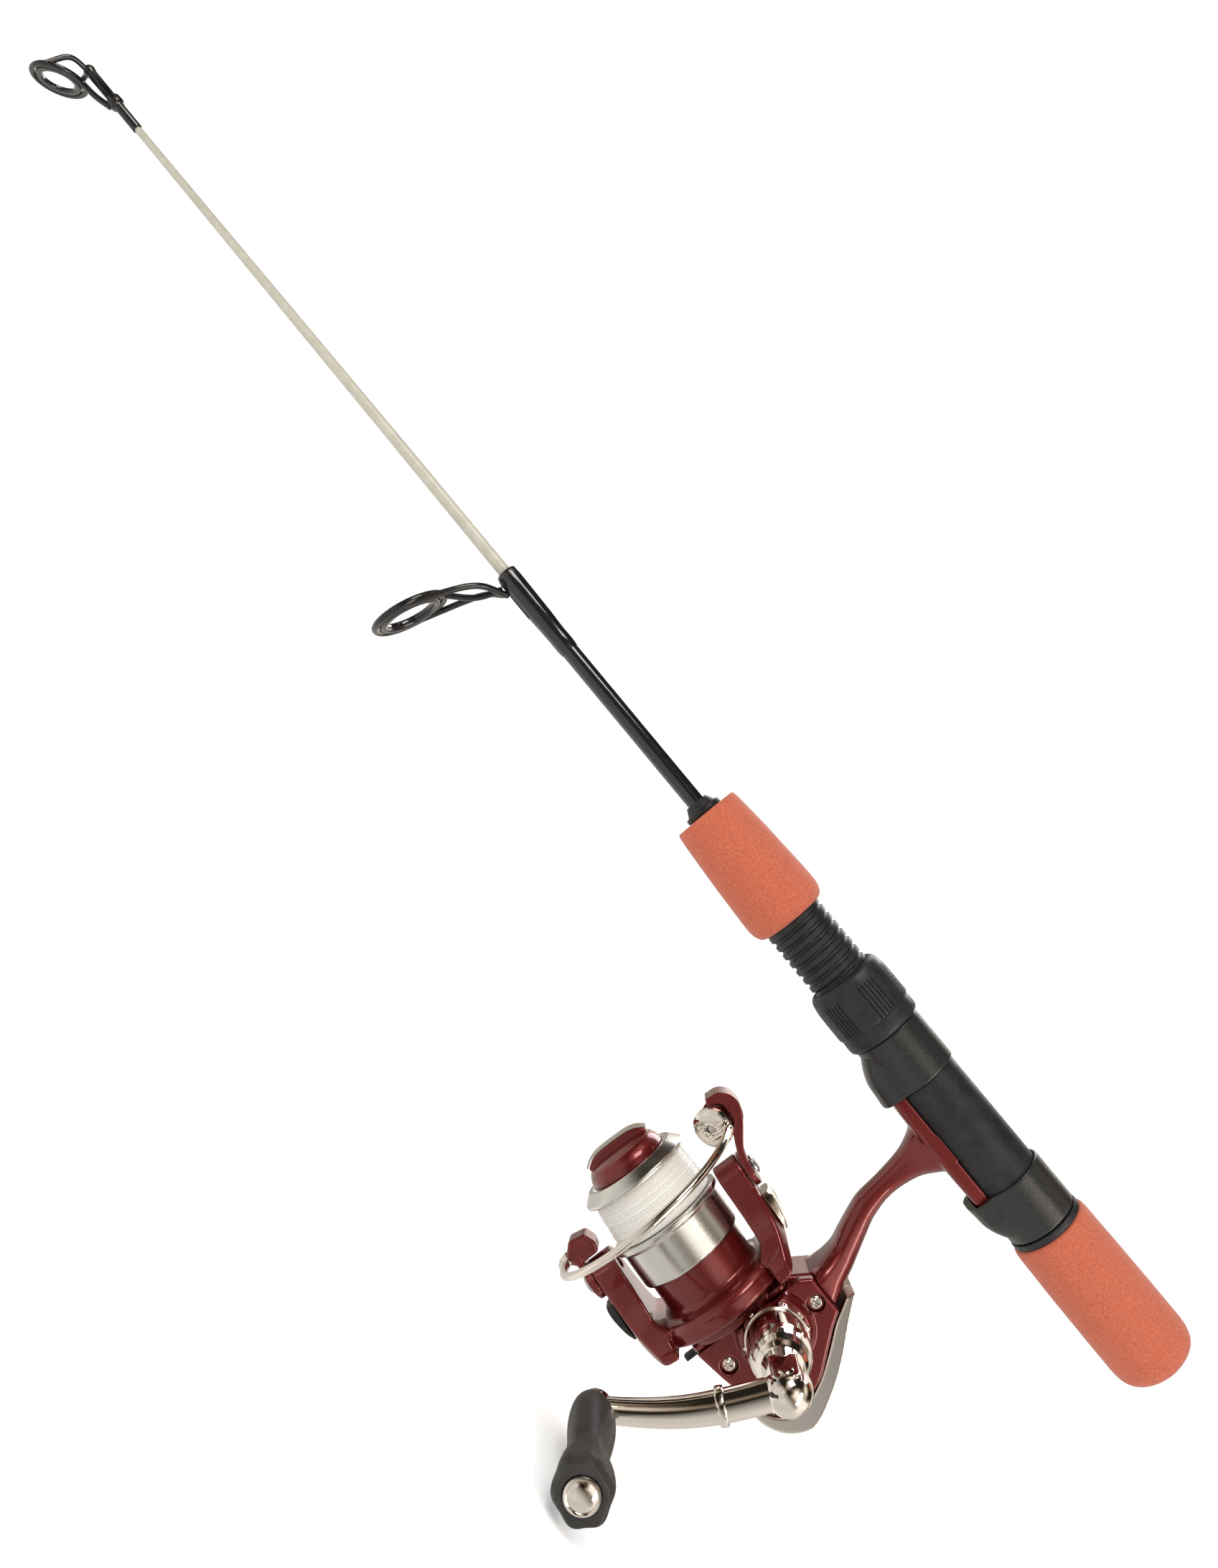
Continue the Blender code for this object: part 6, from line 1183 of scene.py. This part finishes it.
def drag_knob():
    base = 52.7 * MM
    profile = [
        (0, base + 4.0 * MM), (1.35 * MM, base + 4.0 * MM), (1.35 * MM, base + 2.2 * MM),
        (4.6 * MM, base + 2.2 * MM), (4.6 * MM, base - 2.0 * MM), (7.2 * MM, base - 2.0 * MM),
        (7.2 * MM, base), (10.6 * MM, base), (11.0 * MM, base + 0.5 * MM),
    ]
    dome = [(11.0, 0.9), (10.8, 2.2), (10.4, 3.2), (9.6, 4.35), (8.3, 5.1), (6.5, 5.6), (3.5, 5.85), (0, 5.9)]
    profile += mm(flat_path(dome, 4), base)
    body = turned(profile, SPOOL, 128)
    arch = []
    for k in range(33):
        share = -1 + k / 16
        arch.append((9.2 * MM * share, base + (7.9 - 2.3 * share**4) * MM))
    outline = [(-9.0 * MM, base + 4.2 * MM), *arch, (9.0 * MM, base + 4.2 * MM)]
    join(body, plate(outline, -1.9 * MM, 1.9 * MM, SPOOL @ FACE_UP, 0.0, 0.5 * MM))
    piece(melted(body, 0.18 * MM, 3), "drag_knob")
    top, under = offset(arch, -0.2 * MM, closed=False), offset(arch, -0.75 * MM, closed=False)
    piece(plate(top + under[::-1], -1.5 * MM, 1.5 * MM, SPOOL @ FACE_UP), "knob_strip")


# ---------------------------------------------------------------- crank

ELBOW, RADIUS, BALL_R = 46.0 * MM, 43.7 * MM, 5.7 * MM
FOLD_PIN_BORE_R = 1.15 * MM


def crank():
    start, bore = 13.7 * MM, 2.6 * MM
    stud = [(bore, 0.0), (8.1 * MM, 0.0), (8.5 * MM, 0.8), (8.2 * MM, 2.2), (8.1 * MM, 3.0)]
    stud += [(bore, 3.0), (bore, 0.0)]
    band = soft_turned([(r, start + z * MM) for r, z in stud], 0.3 * MM, CRANK)
    balls = []
    for k in range(6):
        arc = [math.radians(-90 + 15 * i) for i in range(13)]
        profile = [(0.75 * MM * math.cos(a), 0.75 * MM * math.sin(a)) for a in arc]
        turn = math.radians(60 * k + 12)
        place = CRANK @ at(8.05 * MM * math.cos(turn), 8.05 * MM * math.sin(turn), start + 1.6 * MM)
        balls.append(turned(profile, place, 24))
    piece(together(band, *balls), "stud_ring")
    base = start + 3.2 * MM
    profile = [
        (bore, base), (7.5 * MM, base), (7.8 * MM, base + MM), (7.8 * MM, base + 9 * MM),
        (7.5 * MM, base + 11.2 * MM), (7.0 * MM, base + 13.0 * MM), (6.2 * MM, base + 15.0 * MM),
        (5.2 * MM, base + 16.5 * MM), (4.2 * MM, ELBOW - 8.8 * MM), (2.5 * MM, ELBOW - 6.3 * MM),
        (0, ELBOW - 6.3 * MM),
        (0, start + 4.5 * MM), (bore, start + 4.5 * MM), (bore, base),
    ]
    collar = soft_turned(profile[:-1] + [profile[0]], 0.4 * MM, CRANK)
    for low, high in ((-4.2 * MM, -2.7 * MM), (2.7 * MM, 4.2 * MM)):
        ear = [(-3.4 * MM, ELBOW - 10.4 * MM), (3.4 * MM, ELBOW - 10.4 * MM)]
        ear += [(3.4 * MM, ELBOW + 2.6 * MM), (-3.4 * MM, ELBOW + 2.6 * MM)]
        join(collar, plate(ear, low, high, CRANK @ FACE_UP, [0, 0, 2.6 * MM, 2.6 * MM], 0.2 * MM))
    pin = CRANK @ at(0, 0, ELBOW) @ FACE_UP
    cut(collar, disc(FOLD_PIN_BORE_R, -8 * MM, 8 * MM, pin, 0, 32))
    piece(melted(collar, 0.2 * MM, 4), "crank_collar")
    head = [(0, -5.0), (1.5, -5.0), (1.85, -4.7), (1.9, -4.55), (1.0, -4.55), (1.0, 4.55), (1.9, 4.55)]
    head += [(1.85, 4.7), (1.5, 5.0), (0, 5.0)]
    piece(turned(mm(head), pin, 40), "fold_pin")
    shaft_end = [(0, -13.1), (3.2, -13.0), (4.2, -12.5), (4.6, -11.8), (4.8, -10.3)]
    shaft_end += [(2.75, -10.3), (2.75, -11.0), (0, -11.0)]
    cap = soft_turned(mm(shaft_end), 0.3 * MM, CRANK)
    piece(cap, "far_side_cap")


def crank_arm():
    bend = 2.3 * MM
    path, radii = [], []
    for k in range(33):
        share = k / 32
        path.append((3 * MM + (RADIUS - 3 * MM) * share, bend * math.sin(math.pi * share), ELBOW))
        radii.append((3.7 - 0.8 * min(1, max(0, (share - 0.3) / 0.6))) * MM)
    bar = wire(path, radii, CRANK, 48)
    arc = [math.radians(-90 + 7.5 * k) for k in range(25)]
    ball_profile = [(BALL_R * math.cos(a), BALL_R * math.sin(a)) for a in arc]
    ball = turned(ball_profile, CRANK @ at(0, 0, ELBOW), 64)
    boss = [(0, -3.4), (3.0, -3.2), (3.9, -1.8), (3.9, 2.6), (3.2, 3.2), (0, 3.2)]
    boss = soft_turned(mm(boss, ELBOW), 0.5 * MM, CRANK @ at(RADIUS), 64)
    shank = disc(2.0 * MM, ELBOW + MM, ELBOW + 29.5 * MM, CRANK @ at(RADIUS), 0, 40)
    join(bar, ball, boss, shank)
    swing = [(-9, -7), (6.3, -7), (6.3, -2.7), (3.7, 2.0), (3.7, 3.3), (-9, 3.3)]
    swing = mm(swing, ELBOW)
    rooms = [
        plate(swing, low * MM, high * MM, CRANK @ FACE_UP) for low, high in ((2.5, 9), (-9, -2.5))
    ]
    cut(bar, *rooms, disc(FOLD_PIN_BORE_R, -8 * MM, 8 * MM, CRANK @ at(0, 0, ELBOW) @ FACE_UP, 0, 32))
    bar.data.set_sharp_from_angle(angle=math.radians(35))
    piece(bar, "crank_arm")
    lean = math.atan2(bend * math.cos(math.pi * 0.3) * math.pi, RADIUS)
    place = at(15.2 * MM, bend * math.sin(math.pi * 0.3), ELBOW) @ Matrix.Rotation(lean, 4, "Z")
    sleeve = [(3.9 * MM + 0.25 * MM + x, y) for x, y in squarish(0.25 * MM, 1.0 * MM, 0.8, 20)]
    piece(turned(sleeve + sleeve[:1], CRANK @ place @ spin(90, "Y"), 64), "arm_sleeve")


def knob():
    low = ELBOW + 3.5 * MM
    place = CRANK @ at(RADIUS, 0, low)
    length = 34.5 * MM
    stations = [
        (0.0, 3.6, 5.0), (0.05, 4.8, 6.6), (0.2, 5.2, 7.6), (0.42, 4.6, 6.6), (0.6, 4.6, 5.6),
        (0.78, 5.8, 6.6), (0.93, 6.2, 7.2), (1.0, 5.2, 6.2),
    ]
    rows = []
    for share, half_x, half_y in smooth_path(stations, 6):
        row = []
        for k in range(96):
            turn = 2 * math.pi * k / 96
            sharp = 1 + 0.05 * share * math.cos(6 * turn)
            x, y = half_x * math.cos(turn), half_y * math.sin(turn)
            row.append((x * sharp * MM, y * sharp * MM, share * length))
        rows.append(row)
    grip = grid(rows, place, closed=False, capped=True)
    cut(
        grip, disc(2.25 * MM, -2 * MM, length - 3.6 * MM, place),
        disc(4.0 * MM, length - 3.9 * MM, length + 3 * MM, place),
    )
    piece(melted(grip, 0.25 * MM, 3), "knob")
    dome = [(0, -1.6), (3.9, -1.6), (3.9, 0.3), (3.75, 0.52), (3.4, 0.6), (3.15, 0.45), (3.05, 0.35)]
    dome += [(2.6, 0.62), (1.9, 0.88), (1.0, 1.05), (0, 1.1)]
    piece(turned(mm(dome, length), place, 72), "knob_cap")


for make in (
    rod, tip_top, stripper_guide, grips, reel_seat, hood_nut, hoods, housing, side_cover, rear_trim,
    rotor, arm_covers, bail_arm, bail_wire, bail_hub, spool, drag_knob, crank, crank_arm, knob,
):
    make()
